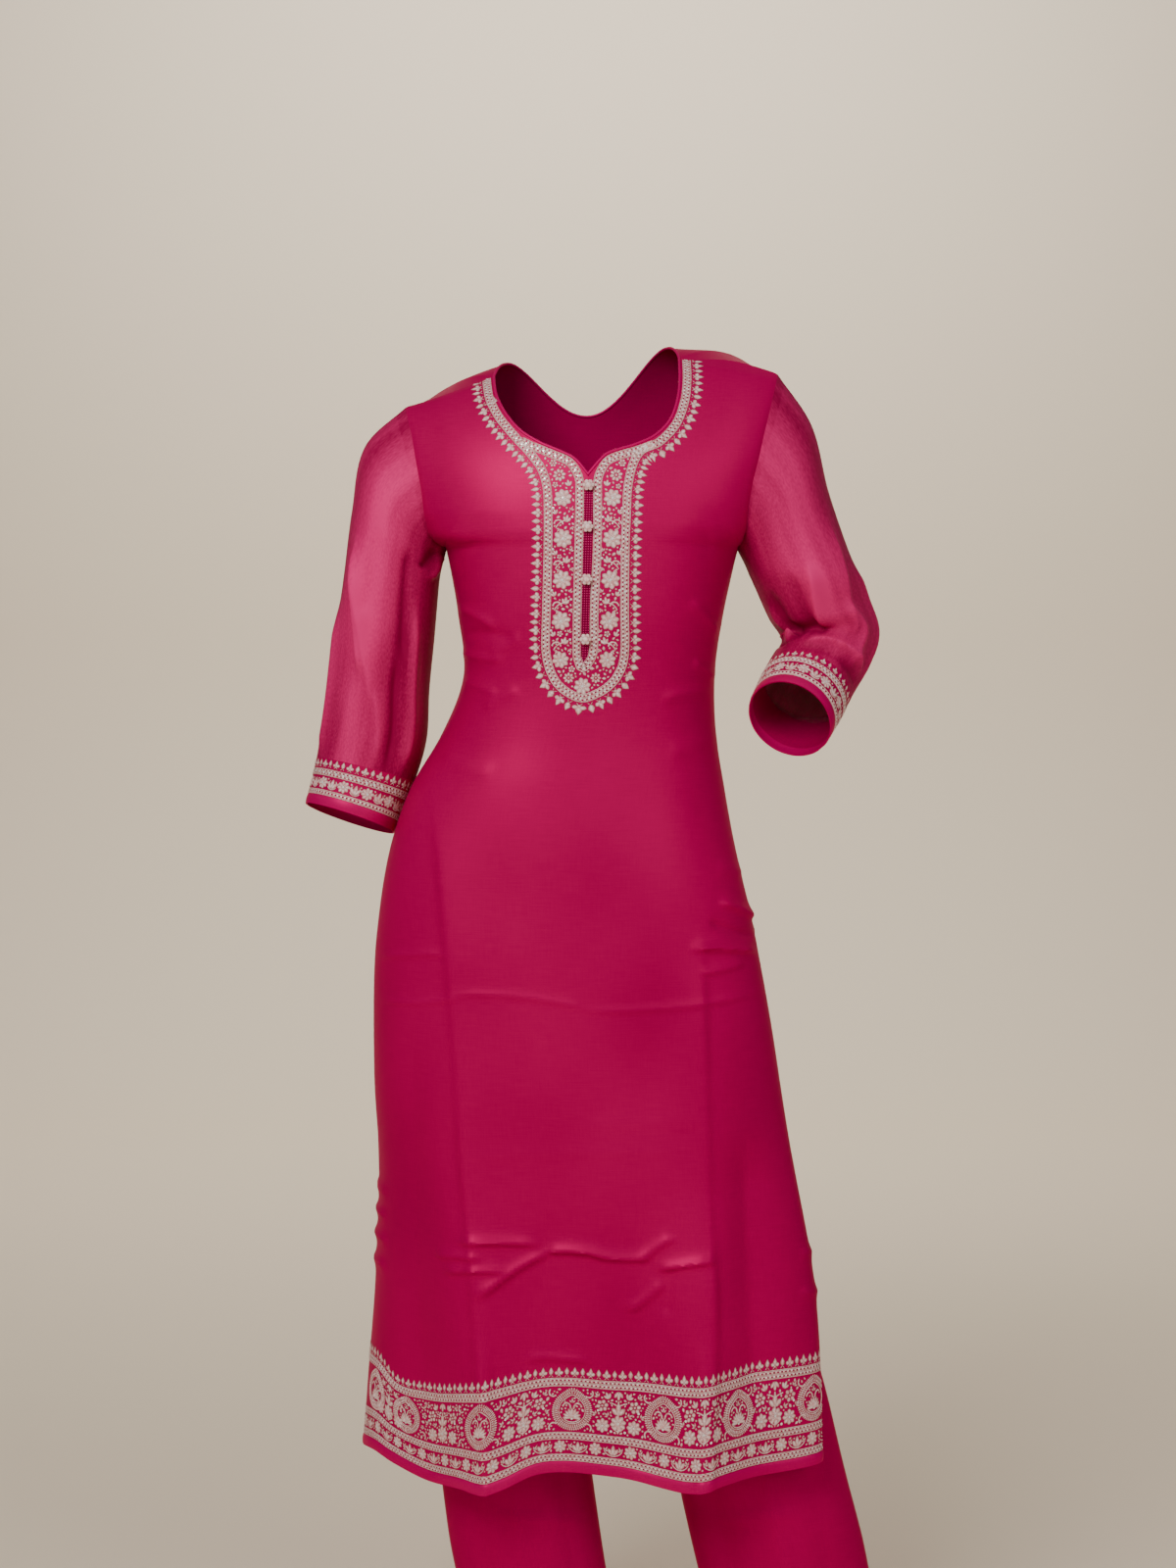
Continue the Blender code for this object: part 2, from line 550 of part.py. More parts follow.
def inside_kameez(points):
    """A point inside the kameez for each point on it, so that the shoulders face up."""
    return points * (INSIDE_ACROSS, 0.0, 1.0) + (0.0, INSIDE_BACK, -INSIDE_DROP)


def kameez_panel(name, levels, hem, panel, steps, neck, place, to_plan, seam):
    """A front or back: the part below the chest line and the part above it in one sheet."""
    lower, band = lower_grid(levels, hem, panel, steps)
    sheet = Sheet(name, SILK)
    rows = sheet.add_grid(lower)
    outer = outer_edge(lower[0, :, 0], to_plan)
    collar = collar_grid(neck, outer, place, seam)
    collar[-1, ARM_STEPS:ARM_STEPS + steps + 1] = lower[0]
    arm_right = len(sheet.points) + np.arange(ARM_STEPS)
    arm_left = arm_right[-1] + 1 + np.arange(ARM_STEPS)
    sheet.points = np.concatenate([sheet.points, collar[-1, :ARM_STEPS], collar[-1, -ARM_STEPS:]])
    edge_row = np.concatenate([arm_right, rows[0], arm_left])
    sheet.add_grid(collar[::-1], top_row=edge_row)
    sheet.face_outward(inside_kameez)
    strip = Sheet("hem_band_" + panel, BAND, BAND_CLOTH)
    strip.add_grid(band)
    strip.face_outward(inside_kameez)
    return sheet, strip, collar, lower


# ---------------------------------------------------------------- sleeves and cuffs
def sleeve_frames(rings):
    """The front and outward directions of each ring, carried along the sleeve without twist."""
    fronts, sides = [], []
    front = np.array([0.0, -1.0, 0.0])
    for ring in rings:
        at = dict(zip(SLEEVE_COLUMNS, ring))
        run = unit(np.array([at["run_x"], at["run_y"], at["run_z"]]))
        front = unit(front - run * np.dot(front, run))
        fronts.append(front)
        sides.append(np.cross(front, run))
    return np.array(fronts), np.array(sides)


def ring_centre(ring):
    """The middle of a ring of a sleeve."""
    at = dict(zip(SLEEVE_COLUMNS, ring))
    return np.array([at["x"], at["y"], at["z"]])


def ring_points(ring, front, side, outward, turns):
    """One ring of a sleeve: turn 0 faces the body, and a quarter turn faces the front."""
    at = dict(zip(SLEEVE_COLUMNS, ring))
    side = side if side[0] * outward > 0 else -side
    across = -np.cos(turns)[:, None] * side * at["half_width"]
    return ring_centre(ring) + across + np.sin(turns)[:, None] * front * at["half_depth"]


def along_sleeve(keys, parts):
    """Rows of a sleeve at parts of its length, by a smooth curve through its key rows."""
    steps = np.linalg.norm(np.diff(keys.mean(1), axis=0), axis=1)
    marks = np.concatenate(([0.0], np.cumsum(steps))) / np.sum(steps)
    slopes = np.gradient(keys, marks, axis=0)
    i = np.clip(np.searchsorted(marks, parts) - 1, 0, len(marks) - 2)
    span = (marks[i + 1] - marks[i])[:, None, None]
    t = ((parts - marks[i]) / (marks[i + 1] - marks[i]))[:, None, None]
    start = (2 * t**3 - 3 * t**2 + 1) * keys[i] + (t**3 - 2 * t**2 + t) * span * slopes[i]
    return start + (3 * t**2 - 2 * t**3) * keys[i + 1] + (t**3 - t**2) * span * slopes[i + 1]


def nearest_of(centres):
    """A finder that gives the nearest of the centres for each point."""
    def nearest(points):
        apart = np.linalg.norm(points[:, None] - centres[None], axis=2)
        return centres[np.argmin(apart, axis=1)]
    return nearest


def sleeve(side_name, front_edge, back_edge, crown, rings, cuff, outward):
    """A sleeve, its cuff border and its plain cuff band, from the armhole loop to the wrist."""
    loop = np.concatenate([front_edge[::-1], back_edge[1:-1]])
    steps = np.linalg.norm(np.diff(np.concatenate([loop, loop[:1]]), axis=0), axis=1)
    half = len(front_edge) - 1
    to_tip = np.concatenate(([0.0], np.cumsum(steps)))
    turns = np.concatenate([to_tip[:half + 1] / to_tip[half] * math.pi,
                            math.pi + (to_tip[half + 1:-1] - to_tip[half])
                            / (to_tip[-1] - to_tip[half]) * math.pi])
    under = np.clip(np.cos(turns) * UNDER_REACH - UNDER_START, 0.0, 1.0)[:, None]
    away = unit(np.array([outward, 0.0, -UNDER_DROP]))
    loop = loop + under * away * (CLOTH + 2 * GAP)
    rings = rings + (cuff,)
    fronts, sides = sleeve_frames(rings)
    keys = [ring_points(ring, front, side, outward, turns)
            for ring, front, side in zip(rings, fronts, sides)]
    outer = ((1 - np.cos(turns)) / 2)[:, None]
    rounded = []
    for row in crown:
        at = dict(zip(CROWN_COLUMNS, row))
        shift = outer * np.array([outward * at["out"], 0.0, at["up"]])
        rounded.append(loop + (keys[0] - loop) * at["part"] + shift)
    keys = np.array([loop] + rounded + keys)
    marks = np.linspace(0.0, 1.0, CURVE_POINTS)
    body = along_sleeve(keys, marks)
    lengths = np.linalg.norm(np.diff(body.mean(1), axis=0), axis=1)
    along = np.concatenate(([0.0], np.cumsum(lengths)))
    total = along[-1]
    border_top = total - np.linalg.norm(ring_centre(cuff) - ring_centre(rings[-2]))
    band_top = total - CUFF_HEM
    pieces = []
    for name, look, thick, start, end, count in (
            ("sleeve_", SHEER, CLOTH, 0.0, border_top, SLEEVE_ROWS),
            ("cuff_border_", BORDER, BAND_CLOTH, border_top, band_top, 2),
            ("cuff_band_", BAND, BAND_CLOTH, band_top, total, 1)):
        parts = np.interp(np.linspace(start, end, count + 1), along, marks)
        grid = along_sleeve(keys, parts)
        sheet = Sheet(name + side_name, look, thick)
        sheet.add_grid(grid, around=True)
        sheet.face_outward(nearest_of(grid.mean(1)))
        pieces.append(sheet)
    return pieces


# ---------------------------------------------------------------- trousers
def leg_ring(rows, height, outward, turns):
    """A ring of one leg below the crotch; turn 0 is the inseam and a quarter turn the front."""
    at = level_values(rows, LEG_COLUMNS, height)
    x = at["x"] - outward * np.cos(turns) * at["half_width"]
    return x, at["y"] - np.sin(turns) * at["half_depth"]


def hip_half(height, outward, turns):
    """One side of the hips, from the centre front seam round the side to the centre back."""
    at = level_values(HIPS, HIP_COLUMNS, height)
    depth = np.where(turns < math.pi, at["front"], at["back"])
    spread = np.sin(turns / 2) ** (2 / HIP_SQUARE)
    reach = np.abs(np.cos(turns / 2)) ** (2 / HIP_SQUARE)
    return at["middle"] + outward * at["half_width"] * spread, depth * reach


def trouser_leg(name, rows, outward):
    """One leg in one piece: seamed to itself down the inseam and to the other leg at the rise."""
    turns = np.linspace(0.0, 2 * math.pi, LEG_STEPS + 1)
    grid = []
    for height in np.linspace(TROUSER_HEM, CROTCH_HEIGHT, LEG_ROWS_BELOW + 1):
        x, y = leg_ring(rows, height, outward, turns)
        grid.append(np.stack([x, y, np.full(len(x), height)], 1))
    crotch = level_values(HIPS, HIP_COLUMNS, CROTCH_HEIGHT)["middle"]
    crotch += outward * (CLOTH / 2 + GAP)
    inner = grid[-1][0].copy()
    grid[-1][:, 0] += (crotch - inner[0]) * (1 + np.cos(turns)) / 2
    for part in np.linspace(0.0, 1.0, LEG_ROWS_ABOVE + 1)[1:]:
        height = CROTCH_HEIGHT + (WAIST_HEIGHT - CROTCH_HEIGHT) * part
        opened = min(1.0, (part * LEG_ROWS_ABOVE / 2) ** CROTCH_OPENING)
        leg_x, leg_y = leg_ring(rows, max(height, LEG_TOP), outward, turns)
        leg_x = leg_x + (crotch - leg_x[0]) * (1 + np.cos(turns)) / 2
        hip_x, hip_y = hip_half(height, outward, turns)
        x = leg_x + (hip_x - leg_x) * opened
        y = leg_y + (hip_y - leg_y) * opened
        grid.append(np.stack([x, y, np.full(len(x), height)], 1))
    grid = np.array(grid)
    sheet = Sheet(name, SILK)
    sheet.add_grid(grid)
    sheet.face_outward(nearest_of(grid.mean(1)))
    return sheet, grid


def waistband(right_top, left_top):
    """The band above both legs, on the line of their top edges."""
    ring = np.concatenate([right_top, left_top[::-1][1:-1]])
    sheet = Sheet("waistband", SILK, BAND_CLOTH)
    sheet.add_grid(np.array([ring, ring + (0.0, 0.0, WAISTBAND)]), around=True)
    sheet.face_outward(nearest_of(ring.mean(0)[None]))
    return sheet


# ---------------------------------------------------------------- trims
def neck_piping(front_collar, back_collar):
    """A thin covered cord all round the neck edge, just inside it."""
    edge = np.concatenate([front_collar[0], back_collar[0][::-1][1:-1]])
    inner = np.concatenate([front_collar[1], back_collar[1][::-1][1:-1]])
    into_neck = edge - inner
    run = unit(np.roll(edge, -1, axis=0) - np.roll(edge, 1, axis=0))
    into_neck = unit(into_neck - run * np.sum(into_neck * run, 1, keepdims=True))
    up = np.cross(run, into_neck)
    centre = edge + into_neck * (PIPING_RADIUS + GAP)
    turns = np.arange(PIPING_SIDES) * 2 * math.pi / PIPING_SIDES
    rings = [centre + PIPING_RADIUS * (math.cos(t) * into_neck + math.sin(t) * up) for t in turns]
    points = np.stack(rings, 1).reshape(-1, 3)
    count = len(edge)
    faces = []
    for i in range(count):
        for j in range(PIPING_SIDES):
            a, b = i * PIPING_SIDES, (i + 1) % count * PIPING_SIDES
            k = (j + 1) % PIPING_SIDES
            faces.append((a + j, b + j, b + k, a + k))
    return make_object("neck_piping", points, faces, SILK)


def centre_strip(collar, lower, width):
    """Points down the centre of the front at a set width, read between the panel's points."""
    middle_lower = lower.shape[1] // 2
    middle_upper = collar.shape[1] // 2
    columns = [np.concatenate([collar[:, middle_upper + d], lower[1:, middle_lower + d]])
               for d in (-2, -1, 0, 1, 2)]
    heights = [height for height in columns[2][1:, 2] if height > INSERT_END] + [INSERT_END]
    rows = []
    for height in heights:
        beside = np.array([[np.interp(-height, -column[:, 2], column[:, k]) for k in range(2)]
                           for column in columns])
        middle = np.interp(-height, (-heights[0], -INSERT_END), (CENTRE_TOP, CENTRE_END))
        across = middle + np.array([-0.5, 0.0, 0.5]) * width
        depths = np.interp(across, beside[:, 0], beside[:, 1])
        rows.append(np.stack([across, depths, np.full(3, height)], 1))
    return np.array(rows)


def placket_insert(strip):
    """The ribbed strip that fills the slot below the V, laid on the front."""
    sheet = Sheet("placket_insert", INSERT, INSERT_THICKNESS)
    sheet.add_grid(strip)
    sheet.face_outward(lambda points: points + (0.0, 1.0, 0.0))
    sheet.points = sheet.points + sheet.normals * (CLOTH / 2 + GAP + INSERT_THICKNESS / 2)
    return sheet


def button(number, strip, normals, height):
    """A round thread-covered button on the insert: a flattened ball with a flat back."""
    middle = strip[:, 1]
    centre = np.array([np.interp(-height, -middle[:, 2], middle[:, k]) for k in range(3)])
    out = unit(np.array([np.interp(-height, -middle[:, 2], normals[:, k]) for k in range(3)]))
    side = unit(np.cross(out, (0.0, 0.0, 1.0)))
    up = np.cross(side, out)
    back = centre + out * (CLOTH / 2 + GAP + INSERT_THICKNESS + GAP)
    points = []
    for reach, lift in BUTTON_PROFILE:
        for k in range(BUTTON_SIDES):
            turn = 2 * math.pi * k / BUTTON_SIDES
            spoke = math.cos(turn) * side + math.sin(turn) * up
            points.append(back + spoke * reach * BUTTON_RADIUS + out * lift * BUTTON_THICKNESS)
    points.append(back + out * BUTTON_THICKNESS)
    faces = [tuple(range(BUTTON_SIDES))]
    for r in range(len(BUTTON_PROFILE) - 1):
        for k in range(BUTTON_SIDES):
            a, b = r * BUTTON_SIDES, (r + 1) * BUTTON_SIDES
            j = (k + 1) % BUTTON_SIDES
            faces.append((a + k, b + k, b + j, a + j))
    last = (len(BUTTON_PROFILE) - 1) * BUTTON_SIDES
    for k in range(BUTTON_SIDES):
        faces.append((last + k, len(points) - 1, last + (k + 1) % BUTTON_SIDES))
    return make_object("button_%d" % number, points, faces, THREAD)


# ---------------------------------------------------------------- assembly
def build_all():
    """Every piece of the suit, in the order it is cut and sewn."""
    for old in list(bpy.data.objects):
        bpy.data.objects.remove(old, do_unlink=True)

    front_count = 2 * ARM_STEPS + FRONT_STEPS
    back_count = 2 * ARM_STEPS + BACK_STEPS
    front, front_band, front_collar, front_lower = kameez_panel(
        "kameez_front", FRONT_LEVELS, FRONT_HEM, "front", FRONT_STEPS,
        neck_edge_front(front_count), upper_front, np.copy, front_seam)
    back, back_band, back_collar, _ = kameez_panel(
        "kameez_back", BACK_LEVELS, BACK_HEM, "back", BACK_STEPS,
        neck_edge_back(back_count + 1), upper_back, plan_of_back, np.ones_like)

    edge = slice(0, ARM_STEPS + 1)
    other = slice(-1, -ARM_STEPS - 2, -1)
    sleeves = sleeve("right", front_collar[-1, edge], back_collar[-1, edge],
                     CROWN_RIGHT, SLEEVE_RIGHT, CUFF_RIGHT, -1.0)
    sleeves += sleeve("left", front_collar[-1, other], back_collar[-1, other],
                      CROWN_LEFT, SLEEVE_LEFT, CUFF_LEFT, 1.0)

    leg_right, right_grid = trouser_leg("trouser_right", LEG_RIGHT, -1.0)
    leg_left, left_grid = trouser_leg("trouser_left", LEG_LEFT, 1.0)
    waist = waistband(right_grid[-1], left_grid[-1])

    sheets = [front, back, front_band, back_band, *sleeves, leg_right, leg_left, waist]
    share_seam_normals(sheets)
    for sheet in sheets:
        sheet.trim(GAP / 2)
        sheet.build()

    neck_piping(front_collar, back_collar)
    strip = centre_strip(front_collar, front_lower, INSERT_WIDTH)
    insert = placket_insert(strip)
    insert.build()
    normals = insert.normals.reshape(-1, 3, 3)[:, 1]
    for number, height in enumerate(BUTTON_HEIGHTS, start=1):
        button(number, strip, normals, height)


build_all()
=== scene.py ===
"""A salwar kameez suit in magenta silk, as worn: the looks of every piece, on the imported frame."""

import math
import random

import bpy
import numpy as np
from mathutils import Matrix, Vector
from mathutils.bvhtree import BVHTree
from mathutils.kdtree import KDTree


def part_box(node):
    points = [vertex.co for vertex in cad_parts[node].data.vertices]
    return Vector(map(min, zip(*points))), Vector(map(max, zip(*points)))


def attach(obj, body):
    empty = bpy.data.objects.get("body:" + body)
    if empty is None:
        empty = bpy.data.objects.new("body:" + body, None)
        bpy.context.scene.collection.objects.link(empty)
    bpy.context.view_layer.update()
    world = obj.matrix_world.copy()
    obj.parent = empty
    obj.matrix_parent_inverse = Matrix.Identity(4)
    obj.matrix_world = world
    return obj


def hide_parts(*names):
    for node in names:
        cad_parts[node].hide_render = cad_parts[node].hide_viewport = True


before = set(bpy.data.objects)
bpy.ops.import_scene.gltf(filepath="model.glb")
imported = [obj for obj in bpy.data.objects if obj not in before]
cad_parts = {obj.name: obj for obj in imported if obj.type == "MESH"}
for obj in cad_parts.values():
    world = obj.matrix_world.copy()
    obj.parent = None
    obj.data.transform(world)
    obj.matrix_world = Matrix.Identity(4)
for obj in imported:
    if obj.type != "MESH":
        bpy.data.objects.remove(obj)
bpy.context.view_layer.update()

# ================================================================ the silk
# A firm silk with a soft sheen, woven from slightly uneven yarns: fine slubs run across it and
# fainter ones down it.  The same cloth makes the front, the back, the trousers and the trims,
# and the bands along the hem and the wrists are cut from a slightly cooler dye lot.
SILK_LIGHT = (0.560, 0.0001, 0.108)
SILK_DARK = (0.370, 0.0001, 0.066)
BAND_LIGHT = (0.640, 0.0002, 0.138)
BAND_DARK = (0.470, 0.0002, 0.098)
WEFT_SLUBS = (38.0, 900.0)      # changes in a metre, across the cloth and down it
WARP_SLUBS = (1100.0, 45.0)
SLOW_TONES = (7.0, 5.0)


class Signal:
    """A number that varies over a surface: it wraps a socket, so that sums read as sums."""

    def __init__(self, tree, socket):
        self.tree, self.socket = tree, socket

    def math(self, operation, first, second=None):
        node = self.tree.nodes.new("ShaderNodeMath")
        node.operation = operation
        for socket, value in zip(node.inputs, (first, second)):
            connect(self.tree, socket, value)
        return Signal(self.tree, node.outputs[0])

    def __add__(self, other):
        return self.math("ADD", self, other)

    def __sub__(self, other):
        return self.math("SUBTRACT", self, other)

    def __rsub__(self, other):
        return self.math("SUBTRACT", other, self)

    def __mul__(self, other):
        return self.math("MULTIPLY", self, other)

    def __pow__(self, other):
        return self.math("POWER", self, other)

    __radd__ = __add__
    __rmul__ = __mul__


def connect(tree, socket, value):
    """Feed a socket with a signal or a fixed value; None leaves it as it is."""
    if isinstance(value, Signal):
        tree.links.new(value.socket, socket)
    elif value is not None:
        socket.default_value = value


class Finish:
    """A material under way: one shader, and the nodes that vary it over the surface."""

    def __init__(self, name, **fixed):
        self.material = bpy.data.materials.new(name)
        self.material.use_nodes = True
        self.tree = self.material.node_tree
        self.shader = self.tree.nodes["Principled BSDF"]
        for key, value in fixed.items():
            self.shader.inputs[key.replace("_", " ")].default_value = value

    def node(self, kind, settings=(), inputs=(), output=0):
        """Any node: its settings come first, then what feeds its sockets."""
        node = self.tree.nodes.new(kind)
        for key, value in dict(settings).items():
            setattr(node, key, value)
        for key, value in dict(inputs).items():
            connect(self.tree, node.inputs[key], value)
        return Signal(self.tree, node.outputs[output])

    def cut(self, across, down):
        """Places on the flat cut, with the distances across and down it stretched."""
        flat = self.node("ShaderNodeUVMap", {"uv_map": "cut"})
        return self.node("ShaderNodeVectorMath", {"operation": "MULTIPLY"},
                         {0: flat, 1: (across, down, 1.0)})

    def noise(self, place, detail=2.0, scale=1.0):
        return self.node("ShaderNodeTexNoise", (),
                         {"Vector": place, "Scale": scale, "Detail": detail})

    def part_of(self, vector, axis):
        """One part of a vector: 0, 1 or 2."""
        return self.node("ShaderNodeSeparateXYZ", (), {"Vector": vector}, output=axis)

    def blend(self, part, first, second):
        """A colour between two colours; the second may vary over the surface too."""
        second = second if isinstance(second, Signal) else (*second, 1.0)
        return self.node("ShaderNodeMix", {"data_type": "RGBA"},
                         {0: part, 6: (*first, 1.0), 7: second}, output=2)

    def feed(self, name, signal):
        connect(self.tree, self.shader.inputs[name], signal)

    def bump(self, height, distance, strength=1.0):
        self.feed("Normal", self.node("ShaderNodeBump", (), {
            "Strength": strength, "Distance": distance, "Height": height}))


def silk_finish(name, light, dark, roughness):
    """Woven silk: slubs across and down, a fine weave, and a slow change of tone."""
    finish = Finish(name, Metallic=0.28, Sheen_Weight=0.02, Sheen_Roughness=0.4,
                    Specular_IOR_Level=0.03)
    finish.shader.inputs["Sheen Tint"].default_value = (1.0, 0.0, 0.25, 1.0)
    finish.shader.inputs["Specular Tint"].default_value = (1.0, 0.05, 0.30, 1.0)
    weft = finish.noise(finish.cut(*WEFT_SLUBS), 3.0)
    warp = finish.noise(finish.cut(*WARP_SLUBS), 3.0)
    slow = finish.noise(finish.cut(*SLOW_TONES), 1.0)
    tone = weft * 0.45 + warp * 0.35 + slow - 0.42
    finish.feed("Base Color", finish.blend(tone, dark, light))
    finish.feed("Roughness", weft * 0.16 + (roughness - 0.08))
    finish.bump(weft * 0.6 + warp * 0.4, 0.0002, 0.4)
    return finish.material


SILK = silk_finish("silk", SILK_LIGHT, SILK_DARK, 0.47)
BAND = silk_finish("band_silk", BAND_LIGHT, BAND_DARK, 0.45)

# ================================================================ the front
# One panel from the shoulders to the hem band, cut in a single piece of silk, with a round neck
# that ends in a V.  Its side edges are seamed to the back down to the slits, and hang free below.
CHEST_HEIGHT = -0.187
SLIT_HEIGHT = -0.575
RIDGE_DEPTH = 0.012
SEAM_DROP_NECK = 0.015
SEAM_DROP_TIP = 0.008
HEM_BAND = 0.0115
UPPER_POWER = 2.2
ARMHOLE_DEPTH = 0.12
NECK_RIGHT = -0.0956
NECK_LEFT = 0.0927
TIP_RIGHT = -0.0445
TIP_LEFT = -0.0110
TIP_REACH = 0.1850
WALL = 0.0007               # the cloth with its finish, as it shows at an edge
ARM_STEPS = 40              # mesh steps along each half of an armhole
CURVE_POINTS = 241
BORDER_DEPTH = 0.104        # the embroidered hem border, above the plain band
LEVEL_END = -0.955          # mesh rows lie level down to here, then bend to follow the hem
BEND_DEPTH = 0.045          # how much cloth the bending rows take up at the front's pitch
LEAST_STEP = 0.001          # no row lies nearer than this to the start of the next zone
LOWEST = -1.150             # the panels' tables are read down to here
SIDE_SEAM = (0.0009, 0.0024)        # how deep a seam or a turned edge draws in, and how wide
SLIT_TURNING = (0.0004, 0.0014)
ARM_SEAM = (0.0008, 0.0024)
SEAM_CALM = 0.012           # creases die away towards a side seam over this distance
NECK_CALM = 0.020           # and towards the neck edge over this one
MM = 0.001                  # creases and patterns are given in millimetres
ZONE_COLUMNS = ("start", "pitch")   # mesh rows go down from a height by a pitch
ROW_ZONES = ((-0.187, 0.0044), (-0.240, 0.0030), (-0.370, 0.0050), (-0.540, 0.0024),
             (-0.660, 0.0048), (-0.860, 0.0022))

FRONT_PITCH = 0.0034

PANEL_COLUMNS = ("height", "right_x", "right_y", "left_x", "left_y", "centre",
                 "square_right", "square_left")
FRONT_LEVELS = (
    (-0.187, -0.1440, 0.006, 0.1515, 0.006, -0.1130, 2.3, 2.3),
    (-0.253, -0.1325, 0.006, 0.1375, 0.004, -0.1085, 2.2, 2.2),
    (-0.317, -0.1268, 0.006, 0.1290, 0.002, -0.0985, 2.2, 2.2),
    (-0.377, -0.1500, 0.008, 0.1305, 0.002, -0.0960, 2.2, 2.2),
    (-0.428, -0.1795, 0.010, 0.1388, 0.002, -0.0990, 2.2, 2.2),
    (-0.478, -0.1985, 0.012, 0.1478, 0.002, -0.1020, 2.2, 2.2),
    (-0.579, -0.2165, 0.016, 0.1705, 0.000, -0.1050, 2.2, 2.1),
    (-0.730, -0.2212, 0.030, 0.1963, -0.010, -0.1000, 2.2, 2.1),
    (-0.830, -0.2185, 0.039, 0.2135, -0.018, -0.0950, 2.1, 2.0),
    (-0.934, -0.2225, 0.048, 0.2310, -0.025, -0.0900, 2.1, 2.0),
    (-1.030, -0.2290, 0.056, 0.2380, -0.031, -0.0850, 2.0, 2.0),
    (-1.140, -0.2390, 0.065, 0.2410, -0.036, -0.0790, 1.9, 2.0),
)
HEM_COLUMNS = ("across", "height", "border")
FRONT_HEM = ((-1.00, -1.1260, 0.110), (-0.82, -1.1205, 0.102), (-0.72, -1.1260, 0.091),
             (-0.55, -1.1345, 0.100), (-0.36, -1.1310, 0.107), (-0.26, -1.1300, 0.113),
             (-0.22, -1.1265, 0.111), (-0.09, -1.1150, 0.104), (0.00, -1.1135, 0.104),
             (0.18, -1.1185, 0.106), (0.36, -1.1260, 0.113), (0.47, -1.1260, 0.114),
             (0.51, -1.1235, 0.113), (0.64, -1.1205, 0.112), (0.82, -1.1190, 0.114),
             (1.00, -1.1155, 0.111))
FOLD_COLUMNS = ("panel", "top", "top_x", "middle", "middle_x", "bottom", "bottom_x",
                "rise_middle", "rise_bottom", "width")
FOLDS = (
    ("front", -0.430, -0.158, -0.780, -0.137, -1.150, -0.100, 0.007, 0.038, 0.046),
    ("front", -0.560, 0.116, -0.830, 0.123, -1.150, 0.112, 0.007, 0.038, 0.046),
    ("back", -0.600, -0.100, -0.860, -0.104, -1.150, -0.108, 0.006, 0.018, 0.050),
    ("back", -0.600, 0.090, -0.860, 0.098, -1.150, 0.104, 0.006, 0.018, 0.050),
)
ARMHOLE_COLUMNS = ("height", "across", "kept")
ARMHOLE_RIGHT = ((-0.1870, 0.1440, 1.000), (-0.1830, 0.1535, 0.975), (-0.1760, 0.1595, 0.935),
                 (-0.1560, 0.1635, 0.885), (-0.1300, 0.1665, 0.860), (-0.1040, 0.1715, 0.850),
                 (-0.0750, 0.1770, 0.850), (-0.0445, 0.1850, 0.860), (-0.0300, 0.1850, 0.860))
ARMHOLE_LEFT = ((-0.1870, 0.1515, 1.000), (-0.1810, 0.1555, 0.975), (-0.1700, 0.1585, 0.930),
                (-0.1460, 0.1605, 0.880), (-0.1230, 0.1645, 0.860), (-0.0970, 0.1710, 0.850),
                (-0.0750, 0.1760, 0.850), (-0.0110, 0.1925, 0.860), (0.0040, 0.1925, 0.860))
RIDGE_COLUMNS = ("across", "height")
RIDGE = ((-0.20, -0.0400), (-0.185, -0.0365), (-0.0956, -0.0035), (0.0, 0.022),
         (0.0927, 0.0155), (0.145, 0.0125), (0.1925, -0.0030), (0.21, -0.009))
NECKLINE_COLUMNS = ("across", "height")
FRONT_NECKLINE = ((-0.0956, -0.0185), (-0.0942, -0.0292), (-0.0913, -0.0411), (-0.0821, -0.0589),
                  (-0.0674, -0.0763), (-0.0480, -0.0889), (-0.0287, -0.0974), (-0.0134, -0.1057),
                  (0.0, -0.1215),
                  (0.0124, -0.1067), (0.0220, -0.0990), (0.0479, -0.0906), (0.0672, -0.0811),
                  (0.0818, -0.0656), (0.0894, -0.0453), (0.0923, -0.0245), (0.0927, 0.0005))

